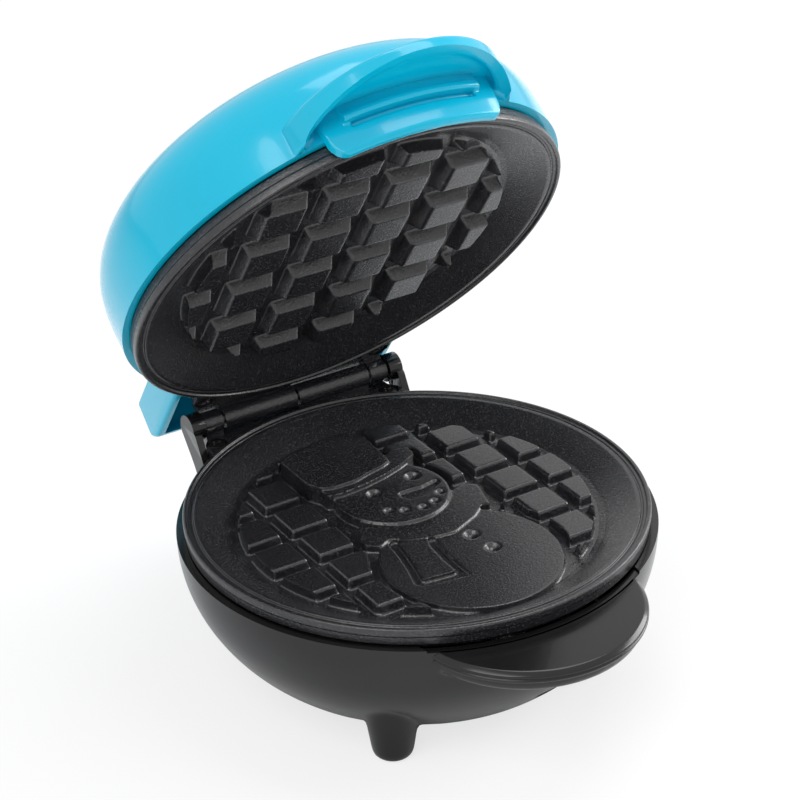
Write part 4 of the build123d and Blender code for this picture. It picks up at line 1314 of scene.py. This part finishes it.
@dataclass
class Studio:
    """Pale floor, white surround, soft lamps and the camera."""

    azimuth: float = -31.237
    elevation: float = 28.266
    roll: float = -1.573
    distance: float = 625.8
    aim: Pair = (-4.316, 24.34)
    lens: float = 2381.318 / 800 * 36
    floor_tone: float = 0.96
    floor_glow: float = 0.74

    def axes(self) -> tuple[Vector, Vector, Vector]:
        """Right, up and back of the camera."""
        a, e, roll = (math.radians(value) for value in (self.azimuth, self.elevation, self.roll))
        back = Vector((math.sin(a) * math.cos(e), -math.cos(a) * math.cos(e), math.sin(e)))
        right = Vector((0, 0, 1)).cross(back).normalized()
        up = back.cross(right)
        c, s = math.cos(roll), math.sin(roll)
        return right * c + up * s, up * c - right * s, back

    def camera(self) -> None:
        """Set the camera at the photograph's place."""
        right, up, back = self.axes()
        spot = PLATE_CENTRE + (back * self.distance + right * self.aim[0] + up * self.aim[1]) / 1000
        data = bpy.data.cameras.new("camera")
        data.lens = self.lens
        data.sensor_width = 36.0
        data.clip_start = 0.01
        camera = bpy.data.objects.new("camera", data)
        bpy.context.scene.collection.objects.link(camera)
        turn = Matrix((right, up, back)).transposed().to_4x4()
        camera.matrix_world = Matrix.Translation(spot) @ turn
        bpy.context.scene.camera = camera

    def lamp(self, name: str, spot: Sequence[float], size: Pair, power: float) -> None:
        """Add one soft lamp that faces the object.

        Args:
            name: Name of the lamp.
            spot: Place in metres from the plates' centre.
            size: Width and height in metres.
            power: Power in watts.
        """
        data = bpy.data.lights.new(name, "AREA")
        data.shape, data.size, data.size_y = "RECTANGLE", size[0], size[1]
        data.energy = power
        lamp = bpy.data.objects.new(name, data)
        bpy.context.scene.collection.objects.link(lamp)
        place = PLATE_CENTRE + Vector(spot)
        lamp.location = place
        lamp.rotation_euler = (PLATE_CENTRE - place).to_track_quat("-Z", "Y").to_euler()

    def surround(self) -> None:
        """Make the world white where it is seen and plain where it lights."""
        world = bpy.data.worlds.new("surround")
        world.use_nodes = True
        bpy.context.scene.world = world
        tree = world.node_tree
        tree.nodes.clear()
        mix, out = tree.nodes.new("ShaderNodeMixShader"), tree.nodes.new("ShaderNodeOutputWorld")
        tree.links.new(mix.outputs[0], out.inputs[0])
        looks = (((0.95, 0.97, 1.0, 1.0), 0.5), ((1.0, 1.0, 1.0, 1.0), 1.0))
        for slot, (tone, strength) in enumerate(looks, 1):
            light = tree.nodes.new("ShaderNodeBackground")
            light.inputs["Color"].default_value = tone
            light.inputs["Strength"].default_value = strength
            tree.links.new(light.outputs[0], mix.inputs[slot])
        path = tree.nodes.new("ShaderNodeLightPath")
        seen = path.outputs["Is Camera Ray"]
        for kind in ("Transmission", "Glossy"):
            either = tree.nodes.new("ShaderNodeMath")
            either.operation = "MAXIMUM"
            tree.links.new(seen, either.inputs[0])
            tree.links.new(path.outputs[f"Is {kind} Ray"], either.inputs[1])
            seen = either.outputs[0]
        tree.links.new(seen, mix.inputs[0])

    def floor(self) -> None:
        """Lay a pale round floor that shows white and keeps the shadow."""
        disc = Bench.start("floor", bpy.ops.mesh.primitive_circle_add, vertices=96, radius=6.0,
                           fill_type="NGON", location=(0, 0, 0))
        graph = Graph("FloorPaper", Roughness=0.9, Specular_IOR_Level=0.0)
        tones = [(self.floor_tone * share,) * 3 for share in (1.0, 0.99)]
        graph.feed(Base_Color=graph.blend(graph.noise(3.0, 2.0), *tones))
        seen = graph.node("ShaderNodeLightPath", {}, {}, "Is Camera Ray") * self.floor_glow
        glow = graph.node("ShaderNodeEmission", {}, {})
        paper = Wire(graph, graph.shader.outputs[0])
        mix = graph.node("ShaderNodeMixShader", {}, {0: seen, 1: paper, 2: glow})
        out = next(n for n in graph.tree.nodes if n.type == "OUTPUT_MATERIAL")
        graph.tree.links.new(mix.socket, out.inputs["Surface"])
        disc.data.materials.append(graph.material)

    def build(self) -> None:
        """Set up the whole stage."""
        bpy.context.scene.view_settings.view_transform = "Standard"
        self.camera()
        self.surround()
        self.floor()
        self.lamp("key", (-0.9, -0.5, 1.1), (0.9, 0.9), 10.0)
        self.lamp("side", (1.3, -0.15, 0.5), (0.9, 0.6), 13.0)
        self.lamp("top", (0.4, 0.2, 1.4), (1.0, 0.7), 8.0)


def main() -> None:
    """Build every sub-assembly in order."""
    logging.basicConfig(level=logging.INFO, format="%(name)s %(message)s")
    palette = Palette()
    Studio().build()
    InnerParts(palette).build()
    BaseShell(palette.black).build()
    LidShell(palette.aqua).build()
    Grill(Half.BASE, palette.cast, "lower_plate", 7.9, 48.0, 14.3, (1.3, 0.0), 10.5, 12.0, True).build()
    Grill(Half.LID, palette.cast, "upper_plate", 8.8, 47.0, 18.0, (9.0, 9.0), 11.0, 24.0, False).build()
    SmallParts(palette, BaseShell.feet).build()


if __name__ == "__main__":
    main()
